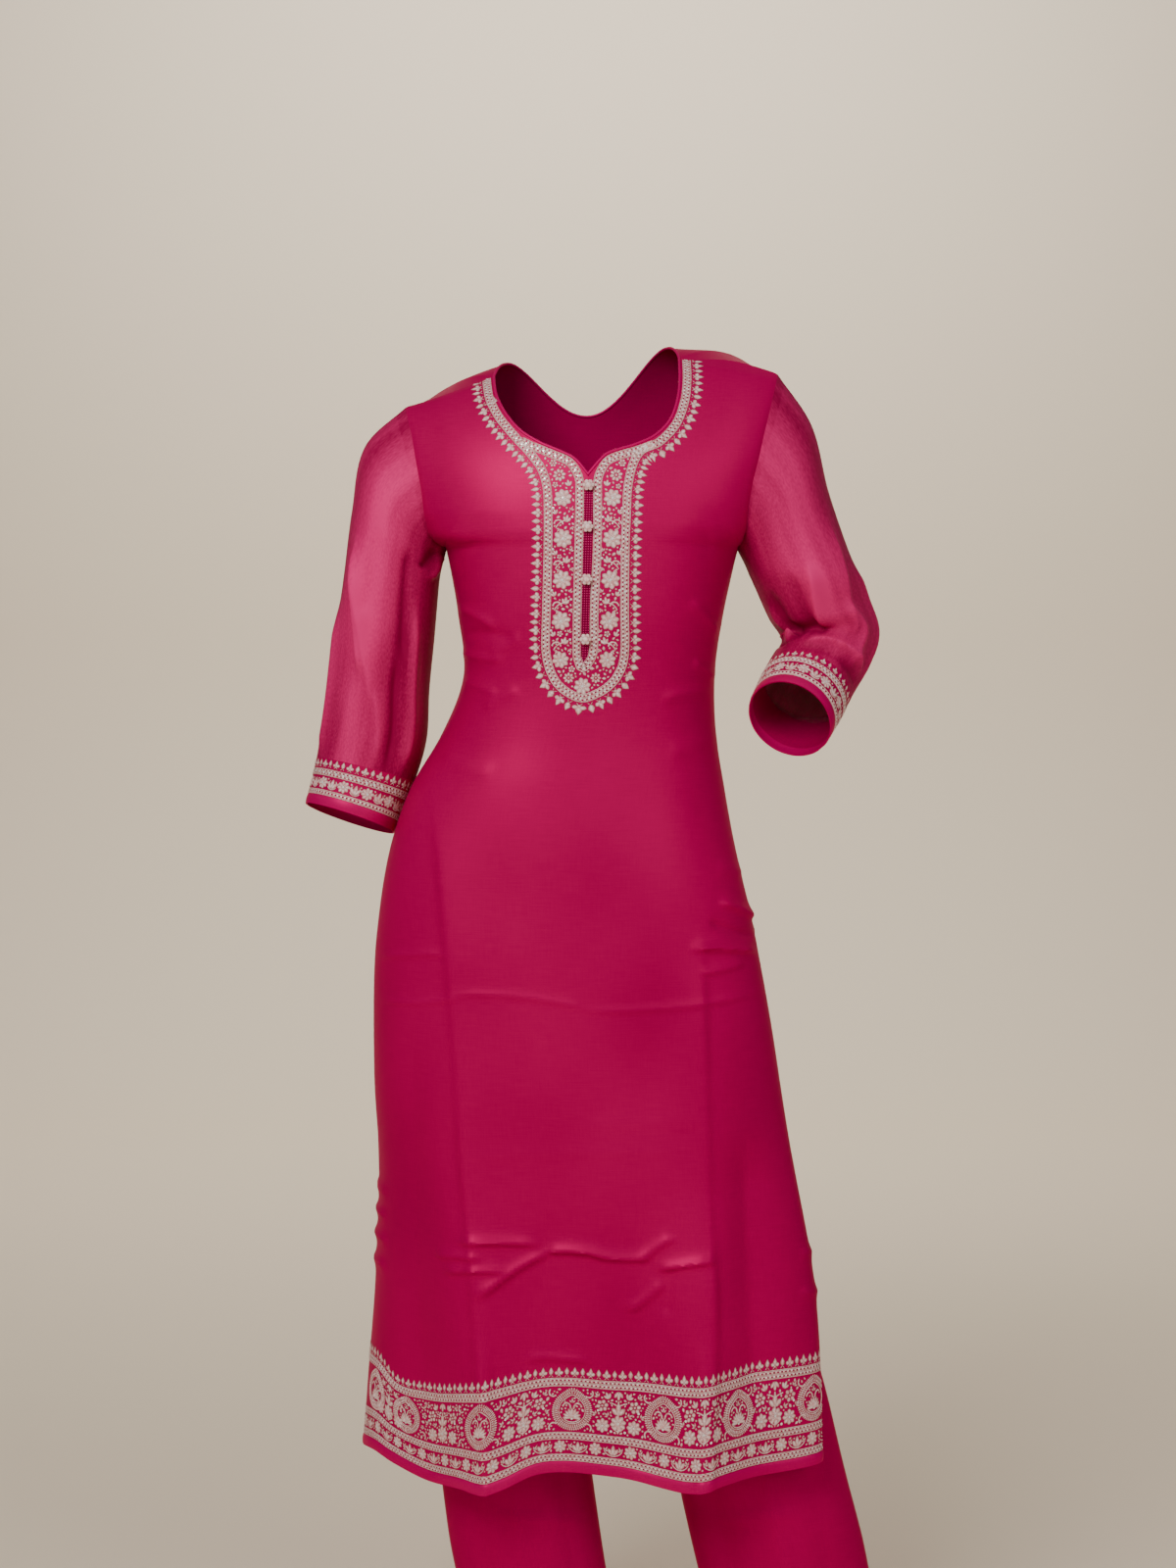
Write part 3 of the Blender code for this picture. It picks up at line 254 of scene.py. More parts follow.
# Creases from folding and wear, in millimetres.  Each runs between two ends as a shallow arc and
# fades at both; a rise below 0 is a trough, and near and far are its widths on its two sides.
CREASE_COLUMNS = ("x0", "z0", "x1", "z1", "bow", "rise", "near", "far")
FRONT_CREASES = (
    (-156, -430, -121, -860, 4, 3, 4.2, 26),      # pressed edges
    (-133, -720, -96, -1230, 4, 4.2, 4.2, 22),
    (113, -560, 127, -1000, -2, 2.6, 24, 4.2),
    (125, -860, 109, -1230, 6, 4.4, 20, 4.2),
    (158, -760, 172, -1080, 0, -7.8, 26, 22),     # hollow by the left slit
    (-178, -640, -172, -1080, 0, -3.6, 22, 24),
    (10, -520, 0, -1180, 10, 2.6, 55, 48),        # slack down the middle
    (-60, -560, -40, -1160, 6, -2.2, 34, 30),
    (62, -600, 58, -1150, -6, -2.2, 30, 34),
    (-213, -602, -138, -592, 2, 2, 2.4, 4.5),     # packing creases
    (-214, -645, -120, -632, -4, 1.6, 2.4, 4.9),
    (-140, -632, 5, -646, 6, 1.6, 2.4, 4.9),
    (-15, -646, 184, -634, -5, 1.6, 2.4, 4.9),
    (-130, -797, 100, -791, 3, 0.7, 2.4, 5.4),
    (-20, -765, 130, -760, 2, 0.6, 2.4, 6.3),
    (-134, -881, -44, -882, 1, 4.6, 2.4, 7.2),    # broken creases, low down
    (-156, -898, -104, -895, 1, 3.4, 2.4, 6.3),
    (-148, -914, -80, -909, 3, 3.9, 2.4, 6.7),
    (-114, -940, -34, -888, 4, 5.4, 2.4, 8.1),
    (-46, -890, 20, -894, 4, 5.6, 2.4, 7.7),
    (4, -892, 64, -896, -2, 4.6, 2.4, 7.2),
    (52, -900, 88, -873, 2, 4.2, 2.4, 6.7),
    (66, -908, 130, -897, 1, 4.6, 2.4, 7.2),
    (38, -952, 78, -917, -2, 3.9, 2.4, 7.2),
    (78, -956, 86, -900, 3, -2.4, 6.3, 4.9),
    (-66, -999, 6, -1002, 3, 3.4, 2.4, 5.4),
    (130, -542, 172, -566, 2, 5, 2.4, 6.3),       # crumples by the hips
    (120, -560, 172, -580, -2, -3.1, 4.2, 4.2),
    (100, -588, 174, -597, 3, 5, 2.4, 6.3),
    (110, -612, 160, -604, -2, 2.4, 2.4, 5.4),
    (128, -505, 158, -520, 1, 2.2, 4.9, 4.2),
    (-132, -247, -90, -270, 2, 2.9, 4.9, 4.2),    # crumples at the waist
    (-130, -292, -80, -300, -2, 2.9, 4.9, 4.2),
    (-128, -274, -70, -281, 3, -2.3, 5.6, 4.9),
    (-64, -276, -100, -294, 2, 1.7, 4.9, 4.9),
    (-106, -350, -66, -329, 2, 1.9, 5.6, 4.2),
    (-128, -322, -88, -336, 2, 2.2, 5.6, 4.9),
    (100, -241, 132, -276, 2, 2.5, 5.6, 4.2),
    (104, -300, 130, -318, -2, 2.3, 5.6, 4.2),
    (70, -342, 124, -330, 3, 1.6, 6.3, 4.9),
    (76, -396, 134, -378, 2, 1.3, 9, 8),
    (-150, -392, -90, -412, -4, 1.4, 9, 8),
    (-158, -176, -112, -186, 4, 1.4, 14, 12),     # pulls by the underarms
    (160, -180, 118, -188, -4, 1.4, 12, 14),
    (-102, -960, -97, -1290, 0, 5, 20, 4),        # kinks in the hem
    (113, -960, 109, -1290, 0, 5, 4, 22),
    (-236, -842, -205, -848, 1, 2.8, 6, 5),       # rippled slit edges
    (-238, -868, -206, -872, 1, 3.2, 6, 5),
    (-238, -896, -204, -896, 1, 3.4, 6, 6),
    (-240, -926, -206, -922, 1, 3, 7, 6),
    (245, -905, 214, -900, 1, 2.2, 6, 7),
    (245, -945, 214, -938, 1, 2.4, 7, 7),
)


def smooth_curve(marks, knots, at):
    """A smooth curve through knots, one at each mark, read at other marks."""
    slopes = np.gradient(knots, marks, axis=0)
    i = np.clip(np.searchsorted(marks, at) - 1, 0, len(marks) - 2)
    span = marks[i + 1] - marks[i]
    t = (at - marks[i]) / span
    span, t = (part.reshape(part.shape + (1,) * (knots.ndim - 1)) for part in (span, t))
    start = (2 * t**3 - 3 * t**2 + 1) * knots[i] + (t**3 - 2 * t**2 + t) * span * slopes[i]
    return start + (3 * t**2 - 2 * t**3) * knots[i + 1] + (t**3 - t**2) * span * slopes[i + 1]


def smooth_value(table, columns, name, value):
    """Read a named column at a value of the first one, by a smooth curve through the rows."""
    rows = np.array(sorted(table), dtype=float)
    value = np.clip(np.asarray(value, dtype=float), rows[0, 0], rows[-1, 0])
    return smooth_curve(rows[:, 0], rows[:, columns.index(name)], value)


def level_values(table, columns, height):
    return {name: float(smooth_value(table, columns, name, height)) for name in columns}


def walk_along(points):
    """How far along a line of points each one lies."""
    steps = np.linalg.norm(np.diff(points, axis=0), axis=1)
    return np.concatenate(([0.0], np.cumsum(steps)))


def by_length(points, count):
    """Points of a polyline taken again at even distances along it."""
    along = walk_along(points)
    wanted = np.linspace(0.0, along[-1], count)
    return np.stack([np.interp(wanted, along, points[:, k]) for k in range(points.shape[1])], 1)


def unit(vectors):
    lengths = np.linalg.norm(vectors, axis=-1, keepdims=True)
    return vectors / np.maximum(lengths, 1e-12)


def fold_rise(panel, x, z):
    """How far the panel's long folds lift it at points seen from the front."""
    rise = np.zeros_like(x)
    for row in FOLDS:
        fold = dict(zip(FOLD_COLUMNS, row))
        if fold["panel"] != panel:
            continue
        heights = (fold["bottom"], fold["middle"], fold["top"])
        line = np.interp(z, heights, (fold["bottom_x"], fold["middle_x"], fold["top_x"]))
        lift = np.interp(z, heights, (fold["rise_bottom"], fold["rise_middle"], 0.0))
        rise += lift * np.exp(-((x - line) / fold["width"]) ** 2)
    return rise


def panel_row(levels, panel, height, count):
    """One row across a panel at one height, from the right edge to the left, evenly spaced."""
    at = level_values(levels, PANEL_COLUMNS, height)
    if height >= SLIT_HEIGHT:
        sides = level_values(FRONT_LEVELS, PANEL_COLUMNS, height)
        at.update({key: sides[key] for key in ("right_x", "right_y", "left_x", "left_y")})
    middle = (at["right_x"] + at["left_x"]) / 2
    turn = np.linspace(0.0, math.pi / 2, CURVE_POINTS)
    halves = []
    for side in ("right", "left"):
        power = 2.0 / at["square_" + side]
        x = middle + (at[side + "_x"] - middle) * np.sin(turn) ** power
        y = at[side + "_y"] + (at["centre"] - at[side + "_y"]) * np.cos(turn) ** power
        halves.append(np.stack([x, y], 1))
    outline = np.concatenate([halves[0][::-1], halves[1][1:]])
    forward = -1.0 if panel == "front" else 1.0
    outline[:, 1] += forward * fold_rise(panel, outline[:, 0], np.full(len(outline), height))
    return by_length(outline, count)


def chest_depth(levels, x):
    """The depth of the chest line at a distance across, and beyond its ends the side seam's."""
    at = level_values(levels, PANEL_COLUMNS, CHEST_HEIGHT)
    middle = (at["right_x"] + at["left_x"]) / 2
    side = np.where(x < middle, at["right_x"], at["left_x"])
    side_y = np.where(x < middle, at["right_y"], at["left_y"])
    square = np.where(x < middle, at["square_right"], at["square_left"])
    part = np.clip(np.abs((x - middle) / (side - middle)), 0.0, 1.0)
    return side_y + (at["centre"] - side_y) * (1.0 - part**square) ** (1.0 / square)


def ridge_height(x):
    return smooth_value(RIDGE, RIDGE_COLUMNS, "height", x)


def armhole_value(table, name, z):
    rows = np.array(table)
    return np.interp(z, rows[:, 0], rows[:, ARMHOLE_COLUMNS.index(name)])


def chest_place(x, z):
    """Where on the chest line a point of the upper body stands above, as a distance across."""
    at = level_values(FRONT_LEVELS, PANEL_COLUMNS, CHEST_HEIGHT)
    right = armhole_value(ARMHOLE_RIGHT, "kept", z) / armhole_value(ARMHOLE_RIGHT, "across", z)
    left = armhole_value(ARMHOLE_LEFT, "kept", z) / armhole_value(ARMHOLE_LEFT, "across", z)
    return np.where(x < 0, x * right * -at["right_x"], x * left * at["left_x"])


def upper_front(x, z):
    """The upper front: the chest line carried up and back to the shoulder ridge."""
    base = chest_depth(FRONT_LEVELS, chest_place(x, z))
    climb = np.clip((z - CHEST_HEIGHT) / (ridge_height(x) - CHEST_HEIGHT), 0.0, 1.0)
    arch = np.sqrt(np.maximum(1.0 - climb**UPPER_POWER, 0.0))
    return np.stack([x, RIDGE_DEPTH + (base - RIDGE_DEPTH) * arch, z], -1)


def front_seam(x):
    """Height of the shoulder seam, which lies just in front of the ridge."""
    drop = np.interp(np.abs(x), (NECK_LEFT, TIP_REACH), (SEAM_DROP_NECK, SEAM_DROP_TIP))
    return ridge_height(x) - drop


def armhole_heights(table, tip):
    """Heights of the armhole's mesh points, from the shoulder tip down to the underarm."""
    heights = np.linspace(tip, CHEST_HEIGHT, CURVE_POINTS)
    line = np.stack([armhole_value(table, "across", heights), heights,
                     armhole_value(table, "kept", heights) * ARMHOLE_DEPTH], 1)
    return by_length(line, ARM_STEPS + 1)[:, 1]


def crease_rise(table, x, z):
    """How high a table's creases stand at places on the cloth, in the table's own measure."""
    x, z = x * 1000, z * 1000
    total = np.zeros(len(x))
    for row in table:
        crease = dict(zip(CREASE_COLUMNS, row))
        run = np.array([crease["x1"] - crease["x0"], crease["z1"] - crease["z0"]])
        length = np.hypot(*run)
        along = run / length
        from_x, from_z = x - crease["x0"], z - crease["z0"]
        part = (from_x * along[0] + from_z * along[1]) / length
        side = from_z * along[0] - from_x * along[1] - crease["bow"] * 4 * part * (1 - part)
        width = np.where(side < 0, crease["near"], crease["far"])
        fade = np.clip(np.minimum(part, 1 - part) / 0.22, 0.0, 1.0)
        total += crease["rise"] * fade**2 * (3 - 2 * fade) * np.exp(-np.abs(side / width) ** 1.4)
    return total


def unevenness(x, z, size):
    """Slow hand-sized waves that keep a hanging cloth from lying perfectly true."""
    waves = ((31.0, 9.0, 0.3), (-17.0, 23.0, 1.9), (47.0, -13.0, 4.1), (11.0, 41.0, 2.6))
    return size / 4 * sum(np.sin(a * x + b * z + c) for a, b, c in waves)


class Cloth:
    """A sheet under way: its points, their places on the flat cut, and four-cornered faces."""

    def __init__(self):
        self.points = np.zeros((0, 3))
        self.flat = np.zeros((0, 2))
        self.quads = np.zeros((0, 4), dtype=int)

    def add_grid(self, grid, flat, around=False, top_row=None):
        """Add a grid of points; one that climbs from a row already there turns its faces over."""
        rows, columns = grid.shape[:2]
        first = 0 if top_row is None else 1
        index = np.zeros((rows, columns), dtype=int)
        if top_row is not None:
            index[0] = top_row
        fresh = (rows - first) * columns
        index[first:] = len(self.points) + np.arange(fresh).reshape(-1, columns)
        self.points = np.concatenate([self.points, grid[first:].reshape(-1, 3)])
        self.flat = np.concatenate([self.flat, flat[first:].reshape(-1, 2)])
        left = index if around else index[:, :-1]
        right = np.roll(index, -1, axis=1) if around else index[:, 1:]
        quads = np.stack([left[:-1], left[1:], right[1:], right[:-1]], -1).reshape(-1, 4)
        if top_row is not None:
            quads = quads[:, ::-1]
        self.quads = np.concatenate([self.quads, quads])
        return index

    def face_normals(self):
        corners = self.points[self.quads]
        return np.cross(corners[:, 2] - corners[:, 0], corners[:, 3] - corners[:, 1])

    def normals(self):
        """The mean direction of the faces round each point."""
        faces = self.face_normals()
        total = np.zeros_like(self.points)
        for corner in range(4):
            np.add.at(total, self.quads[:, corner], faces)
        return unit(total)

    def face_outward(self, inside):
        """Turn the faces so that their normals point away from the middle of the garment."""
        middles = self.points[self.quads].mean(1)
        if np.sum(self.face_normals() * (middles - inside(middles))) < 0:
            self.quads = self.quads[:, ::-1]

    def lift(self, amount):
        self.points = self.points + self.normals() * amount[:, None]

    def rim(self):
        """The edges that belong to one face only, in that face's order."""
        edges = np.concatenate([self.quads[:, [k, (k + 1) % 4]] for k in range(4)])
        keys = np.sort(edges, axis=1)
        order = keys[:, 0] * len(self.points) + keys[:, 1]
        _, first, uses = np.unique(order, return_index=True, return_counts=True)
        return edges[first[uses == 1]]

    def make(self, name, material, wall=WALL):
        """The sheet as an object: one layer, or an outer and an inner one joined at the rim."""
        points, flat, faces = self.points, self.flat, self.quads
        if wall:
            count = len(points)
            rim = self.rim()
            points = np.concatenate([points, points - self.normals() * wall])
            flat = np.concatenate([flat, flat])
            edge = np.column_stack([rim[:, 1], rim[:, 0], rim[:, 0] + count, rim[:, 1] + count])
            faces = np.concatenate([faces, faces[:, ::-1] + count, edge])
        return mesh_object(name, points, faces, material, flat)

    def tree(self):
        """The outer surface, to lay trimmings on."""
        return BVHTree.FromPolygons(self.points.tolist(), self.quads.tolist())


def mesh_object(name, points, faces, material, flat=None):
    """A smooth-shaded object; flat holds each point's place on the cut, for the weave."""
    mesh = bpy.data.meshes.new(name)
    mesh.from_pydata(points.tolist(), [], faces.tolist())
    if flat is not None:
        corners = np.empty(len(mesh.loops), dtype=np.int32)
        mesh.loops.foreach_get("vertex_index", corners)
        layer = mesh.uv_layers.new(name="cut")
        layer.data.foreach_set("uv", flat[corners].astype(np.float32).ravel())
    mesh.shade_smooth()
    mesh.set_sharp_from_angle(angle=math.radians(60))
    mesh.materials.append(material)
    made = bpy.data.objects.new(name, mesh)
    bpy.context.scene.collection.objects.link(made)
    return made


def fit(made, slot, *nodes):
    """Fix a piece to the suit: it rides with it and stands for the CAD pieces named."""
    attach(made, "root")
    if nodes:
        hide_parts(*nodes)
    return made


def groove(away, depth, width):
    """How deep a seam's groove is at a distance away from its line."""
    return depth * np.exp(-(away / width) ** 2)


def inside_kameez(points):
    return points * (0.3, 0.0, 1.0) + (0.0, 0.010, -0.020)


def neck_edge_front(count):
    """The front neck edge: a round neck with a V notch, evenly spaced, keeping the notch's tip."""
    tip = len(FRONT_NECKLINE) // 2
    columns = ("mark",) + NECKLINE_COLUMNS
    halves = []
    for part in (FRONT_NECKLINE[:tip + 1], FRONT_NECKLINE[tip:]):
        table = [(mark, *place) for mark, place in enumerate(part)]
        marks = np.linspace(0, len(part) - 1, CURVE_POINTS)
        curve = [smooth_value(table, columns, name, marks) for name in NECKLINE_COLUMNS]
        halves.append(by_length(np.stack(curve, 1), count // 2 + 1))
    return np.concatenate([halves[0], halves[1][1:]])


def lower_panel(levels, hem, panel, across, pitch):
    """The panel below the chest line: level rows, then rows that bend down to the hem band."""
    along = np.linspace(-1, 1, across + 1)
    hem_line = smooth_value(hem, HEM_COLUMNS, "height", along) + HEM_BAND
    zones = [dict(zip(ZONE_COLUMNS, zone)) for zone in ROW_ZONES]
    ends = [zone["start"] for zone in zones[1:]] + [LEVEL_END]
    level = np.concatenate([np.arange(zone["start"], end + LEAST_STEP,
                                      -zone["pitch"] * pitch / FRONT_PITCH)
                            for zone, end in zip(zones, ends)])
    bend = np.linspace(0.0, 1.0, int(BEND_DEPTH / pitch) + 1)[1:, None]
    border_depth = smooth_value(hem, HEM_COLUMNS, "border", along)
    border_top = hem_line + border_depth
    border = np.linspace(0.0, 1.0, int(BORDER_DEPTH / pitch) + 1)[1:, None]
    heights = np.concatenate([np.repeat(level[:, None], across + 1, 1),
                              LEVEL_END + (border_top - LEVEL_END) * bend,
                              border_top - border_depth * border])
    return place_rows(levels, panel, heights), len(border) + 1


def place_rows(levels, panel, heights):
    """Points of a panel at a table of heights, a row of them across the panel for each line."""
    marks = np.linspace(CHEST_HEIGHT, LOWEST, 280)
    rows = np.array([panel_row(levels, panel, mark, heights.shape[1]) for mark in marks])
    at = np.clip((marks[0] - heights) / (marks[0] - marks[1]), 0, len(marks) - 1.001)
    i = at.astype(int)
    part = (at - i)[..., None]
    columns = np.arange(heights.shape[1])[None].repeat(len(heights), 0)
    placed = rows[i, columns] * (1 - part) + rows[i + 1, columns] * part
    return np.dstack([placed, heights])


def outer_edge(chest_x, to_plan):
    """The outer edge in plan: down the right armhole, across the chest, up the left armhole."""
    right_z = armhole_heights(ARMHOLE_RIGHT, TIP_RIGHT)
    left_z = armhole_heights(ARMHOLE_LEFT, TIP_LEFT)[::-1]
    right_x = -armhole_value(ARMHOLE_RIGHT, "across", right_z)
    left_x = armhole_value(ARMHOLE_LEFT, "across", left_z)
    chest = np.stack([chest_x[1:-1], np.full(len(chest_x) - 2, CHEST_HEIGHT)], 1)
    edge = np.concatenate([np.stack([right_x, right_z], 1), chest, np.stack([left_x, left_z], 1)])
    return to_plan(edge)


def kameez_panel(lower, neck, rows, place, to_plan, seam, creases):
    """A front or back in one sheet, with its creases: the grids come back with it."""
    steps = lower.shape[1] - 1
    outer = outer_edge(lower[0, :, 0], to_plan)
    parts = np.linspace(0.0, 1.0, rows + 1)[:, None, None]
    plan = neck[None] * (1 - parts) + outer[None] * parts
    for end in (0, -1):
        plan[:, end, 1] = seam(plan[:, end, 0])
    collar = place(plan[..., 0], plan[..., 1])
    chest = slice(ARM_STEPS, ARM_STEPS + steps + 1)
    collar[-1, chest] = lower[0]

    walk = np.linalg.norm(np.diff(lower, axis=1), axis=2)
    walk = np.concatenate([np.zeros((len(lower), 1)), np.cumsum(walk, axis=1)], 1)
    lower_flat = np.dstack([walk - walk[:, -1:] / 2, lower[..., 2]])
    shift = np.concatenate([np.full(ARM_STEPS, lower_flat[0, 0, 0] - lower[0, 0, 0]),
                            lower_flat[0, :, 0] - lower[0, :, 0],
                            np.full(ARM_STEPS, lower_flat[0, -1, 0] - lower[0, -1, 0])])
    upper_flat = np.dstack([collar[..., 0] + shift * parts[..., 0], collar[..., 2]])

    cloth = Cloth()
    index = cloth.add_grid(lower, lower_flat)
    arms = len(cloth.points) + np.arange(2 * ARM_STEPS)
    both_arms = (slice(0, ARM_STEPS), slice(-ARM_STEPS, None))
    for arm in both_arms:
        cloth.points = np.concatenate([cloth.points, collar[-1, arm]])
        cloth.flat = np.concatenate([cloth.flat, upper_flat[-1, arm]])
    edge_row = np.concatenate([arms[:ARM_STEPS], index[0], arms[ARM_STEPS:]])
    collar_index = cloth.add_grid(collar[::-1], upper_flat[::-1], top_row=edge_row)[::-1]
    cloth.face_outward(inside_kameez)

    x, z = cloth.points[:, 0], cloth.points[:, 2]
    lift = crease_rise(creases, x, z) * MM + unevenness(x, z, 0.0011)
    from_side = np.minimum(walk, walk[:, -1:] - walk)
    closed = np.clip((lower[..., 2] - SLIT_HEIGHT) / 0.02, 0.0, 1.0)
    lift[index] -= closed * groove(from_side, *SIDE_SEAM)
    lift[index] -= (1 - closed) * groove(from_side - 0.009, *SLIT_TURNING)
    steady = np.clip(from_side / SEAM_CALM, 0.0, 1.0) * closed + (1 - closed)
    lift[index] *= np.maximum(steady, 0.25)
    reach = np.linalg.norm(collar - collar[-1:], axis=2)
    for arm in both_arms:
        lift[collar_index[-8:, arm]] -= groove(reach[-8:, arm], *ARM_SEAM)
    for column, share in ((0, 1.0), (1, 0.5), (-1, 1.0), (-2, 0.5)):
        lift[collar_index[:, column]] -= ARM_SEAM[0] * share
    near_neck = np.linalg.norm(collar - collar[:1], axis=2)
    lift[collar_index] *= np.clip(near_neck / NECK_CALM, 0.0, 1.0)
    cloth.lift(lift)
    return cloth, index, collar_index


FRONT_ACROSS = 132
front_lower, front_border_rows = lower_panel(FRONT_LEVELS, FRONT_HEM, "front", FRONT_ACROSS,
                                             FRONT_PITCH)
front_cloth, front_index, front_collar = kameez_panel(
    front_lower, neck_edge_front(2 * ARM_STEPS + FRONT_ACROSS), 30, upper_front, np.copy,
    front_seam, FRONT_CREASES)
fit(front_cloth.make("front", SILK), "silk", "kameez_front")

# ================================================================ the back
# The other half of the kameez: the same silk, plain, cut higher at the neck.  It comes forward
# over the shoulder ridge to the seams, and hangs a little longer and freer over the seat.
BACK_NECK_BOTTOM = -0.0480
BACK_NECK_ROUND = 1.5
# Down to the slits the back's edges are the front's, and only its middle is its own.
BACK_MIDDLE_COLUMNS = ("centre", "square_right", "square_left")
BACK_MIDDLES = ((0.0980, 2.5, 2.5), (0.0950, 2.4, 2.4), (0.0880, 2.3, 2.3), (0.0930, 2.2, 2.2),
                (0.1080, 2.2, 2.2), (0.1210, 2.2, 2.2), (0.1330, 2.2, 2.2))
EDGE_COUNT = len(PANEL_COLUMNS) - len(BACK_MIDDLE_COLUMNS)
BACK_LEVELS = tuple(row[:EDGE_COUNT] + own for row, own in zip(FRONT_LEVELS, BACK_MIDDLES)) + (
    (-0.730, -0.2210, 0.046, 0.1940, 0.026, 0.1360, 2.3, 2.3),
    (-0.934, -0.2190, 0.066, 0.2180, 0.056, 0.1370, 2.3, 2.3),
    (-1.140, -0.2170, 0.080, 0.2260, 0.072, 0.1350, 2.3, 2.3),
)
BACK_HEM = ((-1.0, -1.1230, 0.108), (-0.50, -1.1330, 0.110), (0.0, -1.1250, 0.106),
            (0.50, -1.1320, 0.110), (1.0, -1.1220, 0.108))
BACK_CREASES = (
    (-104, -560, -108, -1230, -4, 3.6, 12, 26),  # pressed edges
    (92, -580, 104, -1230, 4, 3.6, 26, 12),
    (4, -420, -6, -1120, 10, -3, 40, 36),        # slack over the seat
    (-160, -640, -168, -1080, 4, -3, 22, 20),
    (156, -660, 164, -1100, -4, -3.4, 20, 24),
    (-120, -372, -30, -352, 4, 3.4, 9, 7),       # slack in the small
    (-30, -362, 70, -348, -4, 3, 9, 7),          # of the back
    (20, -376, 118, -384, 4, 3, 10, 7),
    (-124, -332, -54, -316, 4, 2.6, 9, 6),
    (38, -326, 124, -334, 4, 2.8, 9, 7),
    (-100, -402, 10, -398, -6, 2.4, 11, 8),
    (-126, -290, -76, -276, -2, 2.2, 8, 7),
    (80, -272, 128, -288, 3, 2.2, 8, 7),
    (-140, -150, -60, -130, 6, 2, 13, 11),       # across the shoulders
    (146, -140, 64, -122, -6, 2, 11, 13),
    (-205, -640, -60, -648, 5, 1.4, 5.5, 3.2),   # packing creases
    (-80, -648, 80, -640, -4, 1.4, 5.5, 3.2),
    (60, -641, 184, -652, 4, 1.3, 5.5, 3.2),
    (-150, -892, -50, -886, 3, 2.2, 8, 3.4),
    (-70, -888, 30, -896, -3, 2.2, 8, 3.4),
    (20, -896, 70, -872, 3, 2, 8, 3.4),
    (60, -902, 160, -894, 4, 2.2, 8, 3.4),
    (-110, -940, -50, -906, 3, 2, 8, 5),
    (130, -560, 172, -582, 3, 3, 7, 5),
    (-214, -566, -160, -590, -3, 3, 7, 5),
    (-214, -596, -170, -606, 2, 2.4, 7, 5),
)


def seam_turn(x):
    """The angle over the ridge at which the shoulder seam lies: just past the top."""
    climb = (front_seam(x) - CHEST_HEIGHT) / (ridge_height(x) - CHEST_HEIGHT)
    return np.arcsin(climb ** (UPPER_POWER / 2))


def upper_back(x, h):
    """The upper back; h is 0 at the chest line and 1 at the shoulder seam, over the ridge."""
    turn = h * (math.pi - seam_turn(x))
    rise = ridge_height(x) - CHEST_HEIGHT
    z = CHEST_HEIGHT + rise * np.sin(turn) ** (2 / UPPER_POWER)
    place = chest_place(x, z)
    side = np.where(turn > math.pi / 2, chest_depth(FRONT_LEVELS, place),
                    chest_depth(BACK_LEVELS, place))
    y = RIDGE_DEPTH + (side - RIDGE_DEPTH) * np.abs(np.cos(turn))
    return np.stack([x, y, z], -1)


def back_h(x, z):
    """The h of a back point at a height, on the back side of the ridge."""
    climb = np.clip((z - CHEST_HEIGHT) / (ridge_height(x) - CHEST_HEIGHT), 0.0, 1.0)
    return np.arcsin(climb ** (UPPER_POWER / 2)) / (math.pi - seam_turn(x))


def neck_edge_back(count):
    """The back neck edge in plan: a shallow round dip below the shoulder seams."""
    low = back_h(np.array([0.0]), np.array([BACK_NECK_BOTTOM]))[0]
    turn = np.linspace(-math.pi / 2, math.pi / 2, count)
    x = np.where(turn < 0, -np.sin(turn) * NECK_RIGHT, np.sin(turn) * NECK_LEFT)
    return np.stack([x, 1.0 - (1.0 - low) * np.maximum(np.cos(turn), 0.0) ** BACK_NECK_ROUND], 1)


def plan_of_back(edge):
    return np.stack([edge[:, 0], back_h(edge[:, 0], edge[:, 1])], 1)


BACK_ACROSS = 96
BACK_PITCH = 0.0042
back_lower, _ = lower_panel(BACK_LEVELS, BACK_HEM, "back", BACK_ACROSS, BACK_PITCH)
back_cloth, back_index, back_collar = kameez_panel(
    back_lower, neck_edge_back(2 * ARM_STEPS + BACK_ACROSS + 1), 24, upper_back, plan_of_back,
    np.ones_like, BACK_CREASES)
fit(back_cloth.make("back", SILK), "silk", "kameez_back")

# ================================================================ the hem bands
# A plain folded band of the cooler silk along the lower edge of the front and of the back,
# seamed to the embroidered border above it and pressed flat.
BAND_WALL = 0.0016          # two layers, folded
BAND_ROWS = 7
BAND_ROLL = 0.0007          # how far the fold rounds out


def hem_band(name, cloth, index, levels, hem, panel, node):
    """A band from the panel's last row down to the hem line."""
    top = cloth.points[index[-1]]
    across = len(top)
    line = smooth_value(hem, HEM_COLUMNS, "height", np.linspace(-1, 1, across))
    drop = place_rows(levels, panel, line[None])[0] - place_rows(levels, panel,
                                                                 line[None] + HEM_BAND)[0]
    parts = np.linspace(0.0, 1.0, BAND_ROWS)
    grid = np.array([top + drop * part for part in parts])
    flat = np.dstack([np.repeat(cloth.flat[index[-1], 0][None], BAND_ROWS, 0),
                      np.repeat((-1.2 - parts * HEM_BAND)[:, None], across, 1)])
    band = Cloth()
    band.add_grid(grid, flat)
    band.face_outward(inside_kameez)
    roll = BAND_ROLL * np.sin(parts * math.pi) + 0.0003
    roll[0] = -0.0004
    band.lift(np.repeat(roll, across))
    fit(band.make(name, BAND, BAND_WALL), "band", node)


hem_band("front_hem_band", front_cloth, front_index, FRONT_LEVELS, FRONT_HEM, "front",
         "hem_band_front")
hem_band("back_hem_band", back_cloth, back_index, BACK_LEVELS, BACK_HEM, "back", "hem_band_back")

